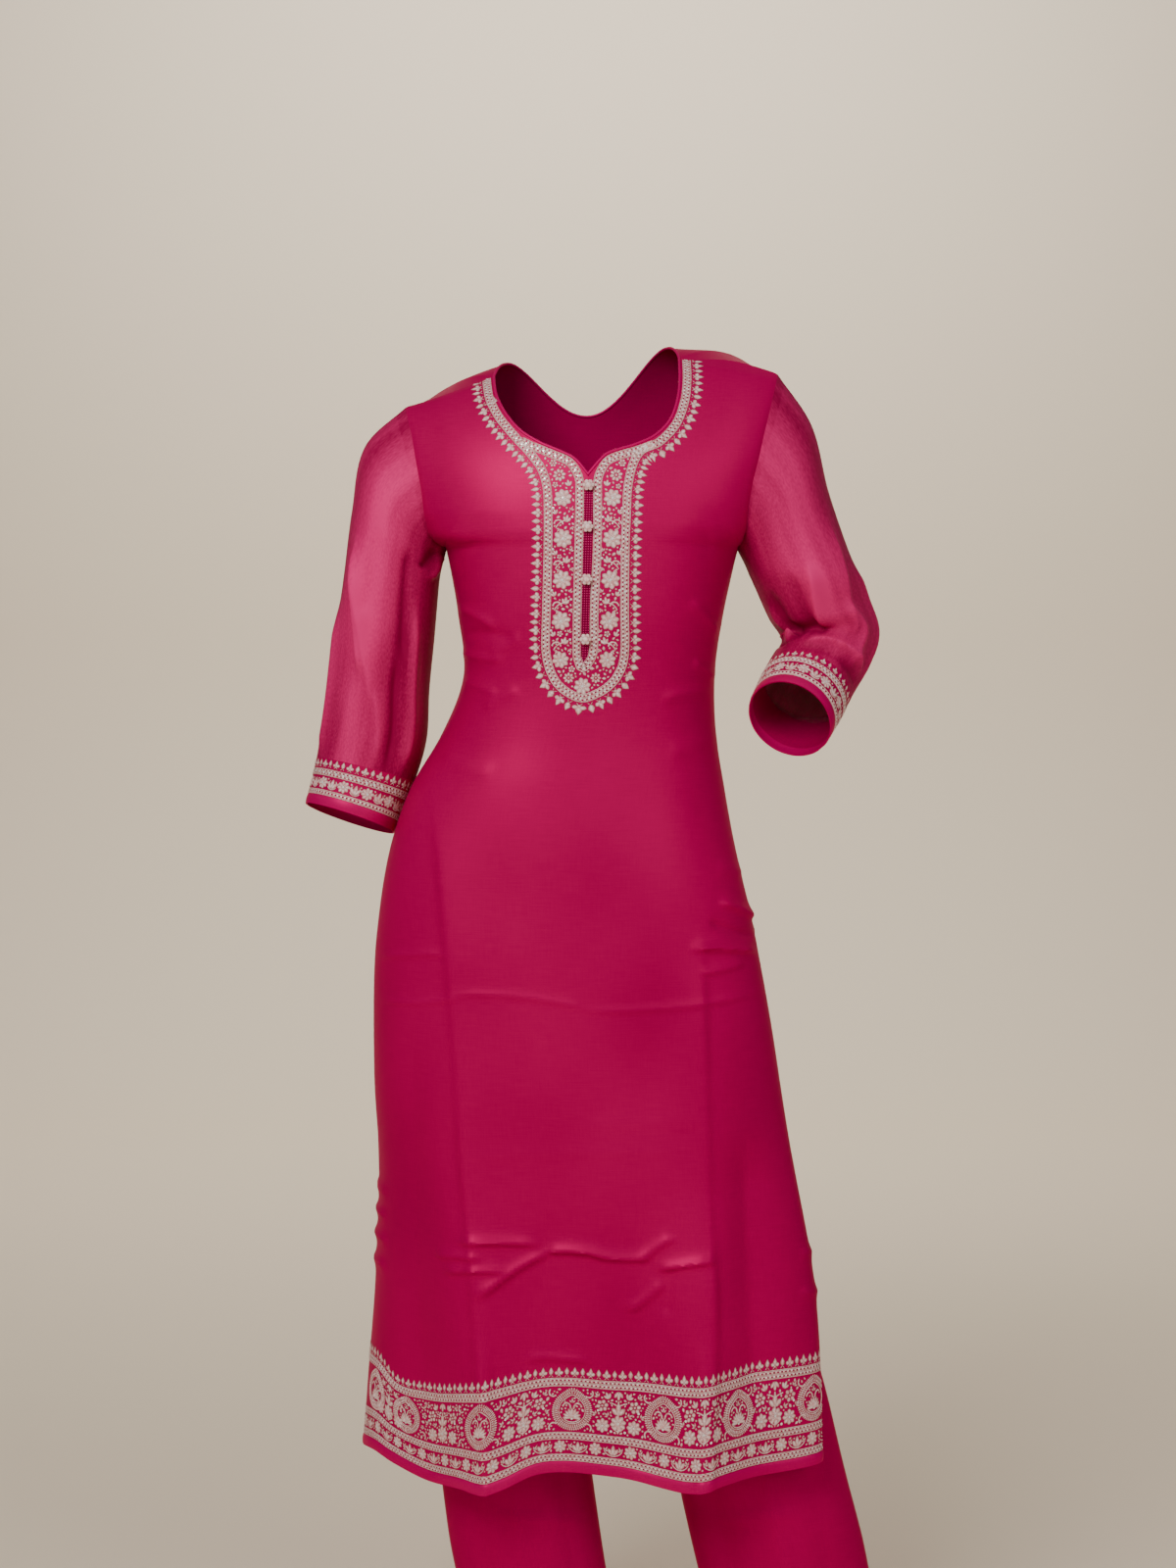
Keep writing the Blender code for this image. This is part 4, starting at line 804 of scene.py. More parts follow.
# ================================================================ the sleeves
# Three-quarter sleeves of sheer georgette in one layer, gathered a little at the elbows.  The
# seam allowances show through as darker bands round the armholes and down the underarm seams.
SLEEVE_COLUMNS = ("x", "y", "z", "run_x", "run_y", "run_z", "half_width", "half_depth")
SLEEVE_RIGHT = (
    (-0.2015, 0.010, -0.217, -0.08, 0.06, -1.00, 0.0490, 0.0600),
    (-0.2085, 0.018, -0.277, -0.09, 0.05, -1.00, 0.0505, 0.0570),
    (-0.2145, 0.026, -0.327, -0.10, 0.02, -1.00, 0.0510, 0.0540),
    (-0.2210, 0.033, -0.377, -0.15, -0.06, -1.00, 0.0535, 0.0510),
    (-0.2325, 0.036, -0.4225, -0.27, -0.14, -1.00, 0.0515, 0.0490),
)
CUFF_RIGHT = (-0.2465, 0.0345, -0.4640, -0.33, -0.19, -1.00, 0.0480, 0.0475)
SLEEVE_LEFT = (
    (0.2213, 0.010, -0.214, 0.14, 0.10, -1.00, 0.0530, 0.0610),
    (0.2360, 0.026, -0.247, 0.24, 0.14, -1.00, 0.0505, 0.0575),
    (0.2480, 0.034, -0.2780, 0.02, -0.22, -0.97, 0.0480, 0.0545),
    (0.2360, 0.019, -0.3060, -0.25, -0.60, -0.76, 0.0455, 0.0515),
    (0.2190, -0.0060, -0.3340, -0.38, -0.70, -0.60, 0.0460, 0.0480),
)
CUFF_LEFT = (0.2030, -0.0350, -0.3600, -0.41, -0.72, -0.56, 0.0440, 0.0465)
CROWN_COLUMNS = ("part", "out", "up")
CROWN_RIGHT = ((0.25, 0.0230, 0.0065), (0.60, 0.0170, -0.0040))
CROWN_LEFT = ((0.25, 0.0130, 0.0010), (0.60, 0.0045, 0.0000))
CUFF_HEM = 0.0110
PEAK_GROUND = 0.0085        # the border's silk laps up over the sheer to back its peaks
FOLD_RANGE = 0.012          # a fold this deep, crown to trough, spans painted light to painted shade
SLEEVE_ROUND = 0.052        # turns round a sleeve become distances on its cut by this radius
SLEEVE_WHOLE = 2 * math.pi * SLEEVE_ROUND
SEAM_SHOWS = 0.0065         # how wide a seam allowance shows through
SLEEVE_CALM = 0.030         # creases die away towards the armhole and the cuff over this
CUFF_STARTS = 0.33          # no part is see-through from here down
# The sheer's colours: its own streaks and grain run between them, and so do painted light from
# behind where one layer faces out, painted light on fold crests and painted shade in troughs.
SHEER_LIGHT = (0.84, 0.024, 0.200)
SHEER_DARK = (0.27, 0.0001, 0.046)
SHEER_GRAIN = (620.0, 260.0)
SHEER_STREAKS = (75.0, 7.0)
SLEEVE_ROWS = 118           # mesh rows down each part of a sleeve
CUFF_ROWS = 16
CUFF_BAND_ROWS = 6

# Sleeve creases lie at distances round the sleeve from the underarm and down from the crown, and
# so do the pale streaks, in the same columns: painted light that shows through from behind where
# one layer faces out.  A streak's rise is how pale it is, from 0 to 1.
RIGHT_SLEEVE_CREASES = (
    (131, 70, 100, 215, 3, 6, 2.2, 12),
    (126, 85, 84, 245, 4, 4.5, 4, 8.8),
    (84, 215, 70, 330, 3, 3.9, 4.8, 8),
    (60, 50, 52, 200, -3, -5.4, 8.8, 7.2),
    (48, 120, 40, 330, 3, 6, 7.2, 8.8),
    (62, 180, 56, 350, 0, -4.8, 6.4, 6.4),
    (150, 120, 145, 370, 4, 4.8, 8, 9.6),
    (106, 200, 108, 390, -3, 2.6, 9.6, 13),
    (98, 60, 104, 150, 2, -2.7, 11.2, 9.6),
    (10, 20, 30, 110, 3, 5.1, 6.4, 5.6),
    (24, 15, 44, 85, 2, -4.5, 5.6, 5.6),
    (200, 80, 190, 330, 5, 5.4, 8.8, 10.4),
    (240, 110, 250, 380, -4, 6, 9.6, 8.8),
    (275, 50, 285, 300, 4, -5.4, 8.8, 9.6),
    (300, 20, 280, 110, 3, 4.8, 6.4, 6.4),
)
RIGHT_SLEEVE_PALE = (
    (101, -60, 102, 440, 2, 0.80, 15, 18),
    (104, -60, 88, 200, 0, 0.55, 42, 42),
    (128, 20, 136, 240, 0, 0.20, 10, 10),
    (240, -50, 250, 420, 0, 0.55, 20, 20),
)
LEFT_SLEEVE_PALE = (
    (104, -70, 80, 200, 0, 0.80, 34, 34),
    (92, 90, 102, 300, 3, 0.60, 9, 15),
    (240, -50, 250, 300, 0, 0.50, 20, 20),
)
LEFT_SLEEVE_CREASES = (
    (86, 105, 67, 218, 2, 5.6, 11, 2.2),
    (134, 80, 104, 225, 4, 3.4, 3.4, 9.5),
    (52, 262, 150, 244, -10, 6.6, 8, 3.4),
    (56, 270, 156, 256, -4, -5.6, 5, 6),
    (64, 282, 160, 270, 6, 6.2, 3.4, 7),
    (80, 292, 160, 280, 4, -4.4, 5, 5),
    (92, 302, 156, 292, 4, 5, 6, 3.4),
    (30, 276, 90, 300, 8, 5.2, 6.4, 4.4),
    (34, 130, 48, 250, 3, -5.4, 7.2, 8.8),
    (22, 140, 30, 250, -3, 6, 6.4, 6.4),
    (66, 110, 74, 250, 2, -4, 6, 9),
    (110, 150, 124, 260, -3, 4.5, 6, 11),
    (6, 190, 40, 230, 2, 6.5, 5.6, 4.8),
    (2, 215, 36, 252, 2, -6, 4.8, 4.8),
    (150, 110, 160, 260, 4, 4.5, 8.8, 8.8),
    (210, 90, 190, 270, 4, 5.5, 9.6, 9.6),
    (260, 110, 270, 260, -4, 5, 8.8, 9.6),
    (200, 250, 290, 262, 5, 5.5, 6.4, 4.8),
    (300, 30, 284, 120, 3, 4.5, 6.4, 6.4),
)


def sheer_finish():
    """Sheer georgette, denser at seams, with painted light from behind and painted fold shading."""
    finish = Finish("sheer_georgette", Roughness=0.62, Sheen_Weight=0.08, Sheen_Roughness=0.5,
                    Specular_IOR_Level=0.08)
    finish.shader.inputs["Sheen Tint"].default_value = (1.0, 0.05, 0.35, 1.0)
    grain = finish.noise(finish.cut(*SHEER_GRAIN))
    streaks = finish.noise(finish.cut(*SHEER_STREAKS))
    flat = finish.node("ShaderNodeUVMap", {"uv_map": "cut"})
    across, down = finish.part_of(flat, 0), finish.part_of(flat, 1)
    crown_seam = down.math("LESS_THAN", down, SEAM_SHOWS)
    under_seam = across.math("LESS_THAN", across, SEAM_SHOWS)
    under_seam = across.math("MAXIMUM", under_seam, across.math(
        "GREATER_THAN", across, SLEEVE_WHOLE - SEAM_SHOWS))
    seams = across.math("MAXIMUM", crown_seam, under_seam)
    above_cuff = down.math("MINIMUM", down.math("MAXIMUM", (CUFF_STARTS - down) * 9.0, 0.0), 1.0)
    folds = finish.node("ShaderNodeAttribute", {"attribute_name": "folds"}, output=2)
    pale = finish.node("ShaderNodeAttribute", {"attribute_name": "pale"}, output=2)
    # In the tone, pale adds painted light that shows through from behind, and folds adds painted
    # light on crests and painted shade in troughs; streaks, grain and seams are the cloth's own.
    tone = streaks * 0.7 + grain * 0.6 + pale * 0.72 + folds * 0.85 - 0.98 - seams * 0.12
    finish.feed("Base Color", finish.blend(tone, SHEER_DARK, SHEER_LIGHT))
    at_front = across.math("LESS_THAN", across, SLEEVE_WHOLE / 2)
    thin = pale * at_front * (streaks * 0.08 + 0.05) * above_cuff * (folds * 0.8 + 0.5)
    finish.feed("Alpha", grain * 0.02 + (0.985 - thin) + seams * 0.2)
    finish.bump(grain, 0.00015, 0.4)
    return finish.material


SHEER = sheer_finish()


def ring_vector(ring, *names):
    at = dict(zip(SLEEVE_COLUMNS, ring))
    return np.array([at[name] for name in names])


def ring_centre(ring):
    return ring_vector(ring, "x", "y", "z")


def sleeve_keys(loop, turns, crown, rings, outward):
    """The armhole loop, the rounded crown and the key rings down to the wrist."""
    front = np.array([0.0, -1.0, 0.0])
    keys = []
    for ring in rings:
        run = unit(ring_vector(ring, "run_x", "run_y", "run_z"))
        half_width, half_depth = ring_vector(ring, "half_width", "half_depth")
        front = unit(front - run * np.dot(front, run))
        side = np.cross(front, run)
        side = side if side[0] * outward > 0 else -side
        keys.append(ring_centre(ring) - np.cos(turns)[:, None] * side * half_width
                    + np.sin(turns)[:, None] * front * half_depth)
    outer = ((1 - np.cos(turns)) / 2)[:, None]
    rounded = []
    for row in crown:
        at = dict(zip(CROWN_COLUMNS, row))
        shift = outer * np.array([outward * at["out"], 0.0, at["up"]])
        rounded.append(loop + (keys[0] - loop) * at["part"] + shift)
    return np.array([loop] + rounded + keys)


def along_sleeve(keys, parts):
    """Rows of a sleeve at parts of its length, by a smooth curve through its key rows."""
    marks = walk_along(keys.mean(1))
    return smooth_curve(marks / marks[-1], keys, parts)


def round_creases(table, around, down):
    """Creases on a tube, where one edge of the cut meets the other."""
    return sum(crease_rise(table, around + turn * SLEEVE_WHOLE, down) for turn in (-1, 0, 1))


def nearest_of(centres):
    """A finder that gives the nearest of the centres for each point."""
    def nearest(points):
        apart = np.linalg.norm(points[:, None] - centres[None], axis=2)
        return centres[np.argmin(apart, axis=1)]
    return nearest


def halved(values, closing):
    """Values round a loop with a new one halfway to each next one, and to the closing one."""
    after = np.concatenate([values[1:], [closing]])
    return np.stack([values, (values + after) / 2], 1).reshape(-1, *values.shape[1:])


def sleeve(columns, crown, rings, cuff, outward, creases, streaks):
    """A sleeve, its cuff border and its plain cuff band; the border's grid comes back too."""
    edge = front_cloth.points[front_collar[-1]][columns]
    other = back_cloth.points[back_collar[-1]][columns]
    loop = np.concatenate([edge[::-1], other[1:-1]])
    half = len(edge) - 1
    walk = walk_along(np.concatenate([loop, loop[:1]]))
    turns = np.concatenate([walk[:half + 1] / walk[half] * math.pi,
                            math.pi + (walk[half + 1:-1] - walk[half])
                            / (walk[-1] - walk[half]) * math.pi])
    loop, turns = halved(loop, loop[0]), halved(turns, 2 * math.pi)
    rings = rings + (cuff,)
    keys = sleeve_keys(loop, turns, crown, rings, outward)
    marks = np.linspace(0.0, 1.0, CURVE_POINTS)
    along = walk_along(along_sleeve(keys, marks).mean(1))
    total = along[-1]
    border_top = total - np.linalg.norm(ring_centre(cuff) - ring_centre(rings[-2])) - PEAK_GROUND
    ends = {"sleeve": (0.0, border_top, SLEEVE_ROWS),
            "border": (border_top, total - CUFF_HEM, CUFF_ROWS),
            "band": (total - CUFF_HEM, total, CUFF_BAND_ROWS)}
    made = {}
    for part, (start, end, count) in ends.items():
        down = np.linspace(start, end, count + 1)
        grid = along_sleeve(keys, np.interp(down, along, marks))
        around = np.repeat((turns * SLEEVE_ROUND)[None], count + 1, 0)
        flat = np.dstack([around, np.repeat(down[:, None], len(turns), 1)])
        cloth = Cloth()
        index = cloth.add_grid(grid, flat, around=True)
        cloth.face_outward(nearest_of(grid.mean(1)))
        lift = round_creases(creases, cloth.flat[:, 0], cloth.flat[:, 1]) * MM
        lift += unevenness(cloth.flat[:, 0] * 2, cloth.flat[:, 1], 0.0014)
        calm = np.clip(cloth.flat[:, 1] / SLEEVE_CALM, 0.0, 1.0)
        calm = calm * np.clip((border_top + 0.004 - cloth.flat[:, 1]) / SLEEVE_CALM, 0.0, 1.0)
        cloth.lift(lift * calm)
        # Painted fold shading for the sheer: 0 in the deepest troughs, 1 on the highest crests.
        cloth.folds = np.clip(0.5 + lift * calm / FOLD_RANGE, 0.0, 1.0)
        # Painted light from behind for the sheer, where one layer faces out.
        cloth.pale = round_creases(streaks, cloth.flat[:, 0], cloth.flat[:, 1])
        made[part] = (cloth, index)
    return made


def sheer_sleeve(arm, side_name):
    """The sheer part of a sleeve; its points keep painted fold shading and light from behind."""
    cloth = arm["sleeve"][0]
    made = cloth.make(side_name + "_sleeve", SHEER, 0.0)
    for name, values in (("folds", cloth.folds), ("pale", cloth.pale)):
        made.data.attributes.new(name, "FLOAT", "POINT").data.foreach_set("value", values)
    fit(made, "sheer", "sleeve_" + side_name)


crown_right = slice(0, ARM_STEPS + 1)
crown_left = slice(-1, -ARM_STEPS - 2, -1)
right_arm = sleeve(crown_right, CROWN_RIGHT, SLEEVE_RIGHT, CUFF_RIGHT, -1.0,
                   RIGHT_SLEEVE_CREASES, RIGHT_SLEEVE_PALE)
left_arm = sleeve(crown_left, CROWN_LEFT, SLEEVE_LEFT, CUFF_LEFT, 1.0,
                  LEFT_SLEEVE_CREASES, LEFT_SLEEVE_PALE)
sheer_sleeve(right_arm, "right")
sheer_sleeve(left_arm, "left")

# ================================================================ the cuffs
# The lower end of each sleeve is a deep border of silk that carries the embroidery, with a
# plain folded band of the cooler silk at the wrist.
CUFF_WALL = 0.0009
FOLDED_WALL = 0.0014        # a lighter fold than the hem's, also at the waist


def cuff(arm, side_name):
    fit(arm["border"][0].make(side_name + "_cuff_border", SILK, CUFF_WALL), "border",
        "cuff_border_" + side_name)
    cloth, index = arm["band"]
    rows = np.linspace(0.0, 1.0, len(index))
    cloth.lift(np.repeat(0.0006 * np.sin(rows * math.pi) + 0.0002, index.shape[1]))
    fit(cloth.make(side_name + "_cuff_band", BAND, FOLDED_WALL), "band",
        "cuff_band_" + side_name)


cuff(right_arm, "right")
cuff(left_arm, "left")

# ================================================================ the trousers
# Straight trousers of the same silk: two legs seamed together at the rise and held at the waist
# by a plain band, all of it under the kameez except the lower legs.
LEG_COLUMNS = ("height", "x", "y", "half_width", "half_depth")
LEG_RIGHT = (
    (-0.640, -0.0965, 0.012, 0.0820, 0.0800), (-0.760, -0.1010, 0.012, 0.0800, 0.0640),
    (-0.900, -0.1000, 0.012, 0.0780, 0.0560), (-1.040, -0.0860, 0.016, 0.0775, 0.0500),
    (-1.165, -0.0700, 0.018, 0.0770, 0.0480), (-1.365, -0.0400, 0.020, 0.0780, 0.0480),
)
LEG_LEFT = (
    (-0.640, 0.0655, 0.012, 0.0800, 0.0800), (-0.760, 0.0860, 0.014, 0.0810, 0.0640),
    (-0.900, 0.1210, 0.018, 0.0820, 0.0560), (-1.040, 0.1560, 0.021, 0.0830, 0.0500),
    (-1.165, 0.1830, 0.022, 0.0870, 0.0480), (-1.365, 0.2330, 0.024, 0.0880, 0.0480),
)
HIP_COLUMNS = ("height", "middle", "half_width", "front", "back")
HIPS = (
    (-0.640, -0.0160, 0.1640, -0.072, 0.098), (-0.560, -0.0180, 0.1600, -0.076, 0.104),
    (-0.470, -0.0180, 0.1440, -0.074, 0.088), (-0.400, -0.0025, 0.1305, -0.072, 0.072),
)
HIP_SQUARE = 2.3
CROTCH_HEIGHT = -0.655
LEG_TOP = -0.640
CROTCH_OPENING = 0.7
WAIST_HEIGHT = -0.400
WAISTBAND = 0.036
TROUSER_HEM = -1.365
LEG_ROUND = 0.068
LEG_STEPS = 84              # mesh steps round a leg, and its rows below and above the crotch
ROWS_BELOW = 128
ROWS_ABOVE = 40
HALF_CROTCH = 0.0009        # each leg stops this far short of the middle of the rise
INSEAM = (0.0006, 0.0022)
TURN_UP = (0.0005, 0.0022)
TURN_UP_DEPTH = 0.030
WAIST_ROWS = 8

# Leg creases lie at distances round the leg from the inseam, and at heights.
LEG_CREASES = (
    (108, -980, 106, -1420, 3, 2.8, 6, 6),      # pressed front crease
    (320, -980, 322, -1420, 3, 2.8, 6, 6),
    (50, -900, 62, -1400, 6, -3, 16, 14),
    (160, -960, 150, -1420, -6, -3.4, 15, 17),
    (200, -860, 206, -1300, 6, 3.4, 14, 14),
    (260, -900, 262, -1380, -5, -3.2, 16, 15),
    (380, -900, 372, -1400, 5, -3, 15, 15),
    (20, -1020, 110, -1000, 6, 3, 8, 7),        # slack at the knee
    (60, -1060, 170, -1040, -6, 2.6, 8, 7),
    (240, -1040, 330, -1012, 6, 3.2, 9, 7),
    (300, -1070, 400, -1050, 6, 2.8, 9, 7),
    (40, -1190, 140, -1176, 5, 1.6, 7, 5),
    (250, -1200, 360, -1188, -5, 1.6, 7, 5),
)


def leg_ring(rows, height, outward, turns):
    """A ring of one leg below the crotch; turn 0 is the inseam and a quarter turn the front."""
    at = level_values(rows, LEG_COLUMNS, height)
    x = at["x"] - outward * np.cos(turns) * at["half_width"]
    return x, at["y"] - np.sin(turns) * at["half_depth"]


def hip_half(height, outward, turns):
    """One side of the hips, from the centre front seam round the side to the centre back."""
    at = level_values(HIPS, HIP_COLUMNS, height)
    depth = np.where(turns < math.pi, at["front"], at["back"])
    spread = np.sin(turns / 2) ** (2 / HIP_SQUARE)
    reach = np.abs(np.cos(turns / 2)) ** (2 / HIP_SQUARE)
    return at["middle"] + outward * at["half_width"] * spread, depth * reach


def trouser_grid(rows, outward):
    """One leg from its hem to the waist, a ring for each mesh row."""
    turns = np.linspace(0.0, 2 * math.pi, LEG_STEPS + 1)
    crotch = level_values(HIPS, HIP_COLUMNS, CROTCH_HEIGHT)["middle"] + outward * HALF_CROTCH
    grid = []
    for height in np.linspace(TROUSER_HEM, CROTCH_HEIGHT, ROWS_BELOW + 1):
        x, y = leg_ring(rows, height, outward, turns)
        grid.append(np.stack([x, y, np.full(len(x), height)], 1))
    for k in range(1, ROWS_ABOVE + 1):
        height = CROTCH_HEIGHT + (WAIST_HEIGHT - CROTCH_HEIGHT) * k / ROWS_ABOVE
        opened = min(1.0, (k / ROWS_ABOVE * 3) ** CROTCH_OPENING)
        leg_x, leg_y = leg_ring(rows, max(height, LEG_TOP), outward, turns)
        leg_x = leg_x + (crotch - leg_x[0]) * (1 + np.cos(turns)) / 2
        hip_x, hip_y = hip_half(height, outward, turns)
        x = leg_x + (hip_x - leg_x) * opened
        y = leg_y + (hip_y - leg_y) * opened
        grid.append(np.stack([x, y, np.full(len(x), height)], 1))
    grid = np.array(grid)
    row = grid[ROWS_BELOW]
    row[:, 0] += (crotch - row[0, 0]) * (1 + np.cos(turns)) / 2
    return grid, turns


def trouser_leg(side_name, rows, outward):
    grid, turns = trouser_grid(rows, outward)
    flat = np.dstack([np.repeat((turns * LEG_ROUND)[None], len(grid), 0), grid[..., 2]])
    cloth = Cloth()
    index = cloth.add_grid(grid, flat)
    cloth.face_outward(nearest_of(grid.mean(1)))
    around, height = cloth.flat[:, 0], cloth.flat[:, 1]
    lift = crease_rise(LEG_CREASES, around, height) * MM
    lift += unevenness(around * 2, height, 0.0016)
    inseam = np.minimum(around, 2 * math.pi * LEG_ROUND - around)
    lift *= np.clip(inseam / 0.014, 0.0, 1.0) * np.clip((-0.70 - height) / 0.05, 0.0, 1.0)
    turn_up = groove(height - TROUSER_HEM - TURN_UP_DEPTH, *TURN_UP)
    cloth.lift(lift - turn_up - groove(inseam, *INSEAM))
    fit(cloth.make(side_name + "_trouser", SILK), "silk", "trouser_" + side_name)
    return grid[-1]


right_top = trouser_leg("right", LEG_RIGHT, -1.0)
left_top = trouser_leg("left", LEG_LEFT, 1.0)
waist_ring = np.concatenate([right_top, left_top[::-1][1:-1]])
waist_rows = np.linspace(0.0, WAISTBAND, WAIST_ROWS)
waist_grid = np.array([waist_ring + (0.0, 0.0, height) for height in waist_rows])
waist_walk = np.arange(len(waist_ring)) * 0.005
waist_cloth = Cloth()
waist_cloth.add_grid(waist_grid, np.dstack([np.repeat(waist_walk[None], WAIST_ROWS, 0),
                                            waist_grid[..., 2]]), around=True)
waist_cloth.face_outward(nearest_of(waist_ring.mean(0)[None]))
fit(waist_cloth.make("waistband_silk", SILK, FOLDED_WALL), "silk", "waistband")

# ================================================================ the neck piping
# A thin cord covered in bias silk, sewn all round the neck edge and down both sides of the V.
PIPING_RADIUS = 0.0014
PIPING_SIDES = 8
PIPING_PITCH = 0.003        # from ring to ring, on the flat cut


def tube(name, line, into, radius, material, sides):
    """A closed tube along a ring of points; into says which way it lies off the edge."""
    run = unit(np.roll(line, -1, axis=0) - np.roll(line, 1, axis=0))
    into = unit(into - run * np.sum(into * run, 1, keepdims=True))
    up = np.cross(run, into)
    centre = line + into * radius
    turns = np.arange(sides) * 2 * math.pi / sides
    rings = np.stack([centre + radius * (math.cos(t) * into + math.sin(t) * up) for t in turns], 1)
    count = len(line)
    walk = np.arange(count) * PIPING_PITCH
    flat = np.dstack([np.repeat(walk[:, None], sides, 1),
                      np.repeat(turns[None] * radius, count, 0)])
    index = np.arange(count * sides).reshape(count, sides)
    ahead, beside = np.roll(index, -1, 0), np.roll(index, -1, 1)
    faces = np.stack([index, ahead, np.roll(ahead, -1, 1), beside], -1).reshape(-1, 4)
    return mesh_object(name, rings.reshape(-1, 3), faces, material, flat.reshape(-1, 2))


front_neck = front_cloth.points[front_collar[0]]
back_neck = back_cloth.points[back_collar[0]]
neck_loop = np.concatenate([front_neck, back_neck[::-1][1:-1]])
neck_inner = np.concatenate([front_cloth.points[front_collar[1]],
                             back_cloth.points[back_collar[1]][::-1][1:-1]])
fit(tube("neck_piping_cord", neck_loop, neck_loop - neck_inner, PIPING_RADIUS, BAND,
         PIPING_SIDES), "silk", "neck_piping")

# ================================================================ the embroidery
# Machine embroidery in pale rose-gold silk thread with small pearl sequins.  Every petal is a
# padded oval of satin stitch, every line a couched cord, and the sequins are sewn on flat.
THREAD_LIFT = 0.15          # the ground of a stitch, this many millimetres off the cloth
SEQUIN_LIFT = 0.75
# Where a stitch dips into the cloth its colour goes to painted shade, mixed with the magenta ground;
# random spots of painted glint lie on its crowns.
THREAD_PAINTED_SHADE = (0.27, 0.025, 0.050)
THREAD_DULL = (0.84, 0.420, 0.390)
THREAD_GLINT = (1.0, 0.860, 0.820)
SEQUIN_DULL = (0.94, 0.88, 0.87)
SEQUIN_PALE = (1.0, 0.99, 0.98)


def raised_part(finish):
    """How high a stitch stands: 0 where it enters the cloth and 1 along its crown."""
    return finish.part_of(finish.node("ShaderNodeUVMap", {"uv_map": "cut"}), 0)


def thread_finish():
    """Pale rose-gold satin stitch: painted glints; painted shade where it dips into the cloth."""
    finish = Finish("rose_gold_thread", Roughness=0.42, Specular_IOR_Level=0.5)
    place = finish.node("ShaderNodeNewGeometry")
    strands = finish.noise(place, 1.0, 2600.0)
    patches = finish.noise(place, 1.0, 430.0)
    # Random spots of painted glint, over the thread's own random tone.
    tone = strands * 0.5 + patches * 2.4 - 0.95
    crown = finish.blend(tone, THREAD_DULL, THREAD_GLINT)
    # The stitch darkens from its crown to where it dips in: partly the magenta ground between the
    # threads, partly painted shade.
    finish.feed("Base Color", finish.blend(raised_part(finish) ** 0.7, THREAD_PAINTED_SHADE, crown))
    finish.feed("Roughness", strands * 0.25 + 0.32)
    finish.bump(strands, 0.0002, 0.6)
    return finish.material


def sequin_finish():
    """Small round pearl sequins."""
    finish = Finish("pearl_sequins", Metallic=0.25, Specular_IOR_Level=0.8)
    patches = finish.noise(finish.node("ShaderNodeNewGeometry"), 2.0, 420.0)
    finish.feed("Base Color", finish.blend(patches, SEQUIN_DULL, SEQUIN_PALE))
    finish.feed("Roughness", patches * 0.2 + 0.12)
    return finish.material


THREAD = thread_finish()
SEQUIN = sequin_finish()


def fan(outline, crest):
    """A raised shape: its outline on the cloth, and a ridge of one or two points over it."""
    points = [(u, v, 0.0) for u, v in outline] + [(u, v, 1.0) for u, v in crest]
    count = len(outline)
    nearest = [count + min(range(len(crest)), key=lambda k: math.dist(crest[k], spot))
               for spot in outline]
    faces = []
    for k in range(count):
        j = (k + 1) % count
        faces.append((k, j, nearest[k]))
        if nearest[j] != nearest[k]:
            faces.append((j, nearest[j], nearest[k]))
    return np.array(points), np.array(faces)


PETAL = fan(((0.0, 0.0), (0.22, 0.36), (0.55, 0.50), (0.84, 0.30),
             (1.0, 0.0), (0.84, -0.30), (0.55, -0.50), (0.22, -0.36)), ((0.32, 0.0), (0.72, 0.0)))
SPEAR = fan(((0.0, 0.0), (0.22, 0.38), (0.48, 0.50), (0.78, 0.24),
             (1.0, 0.0), (0.78, -0.24), (0.48, -0.50), (0.22, -0.38)), ((0.3, 0.0), (0.65, 0.0)))
LEAF = fan(((0.0, 0.0), (0.40, 0.50), (1.0, 0.0), (0.40, -0.50)), ((0.45, 0.0),))
DOT = fan([(0.5 * math.cos(k * math.pi / 4), 0.5 * math.sin(k * math.pi / 4))
           for k in range(8)], ((0.0, 0.0),))
UP = math.pi / 2


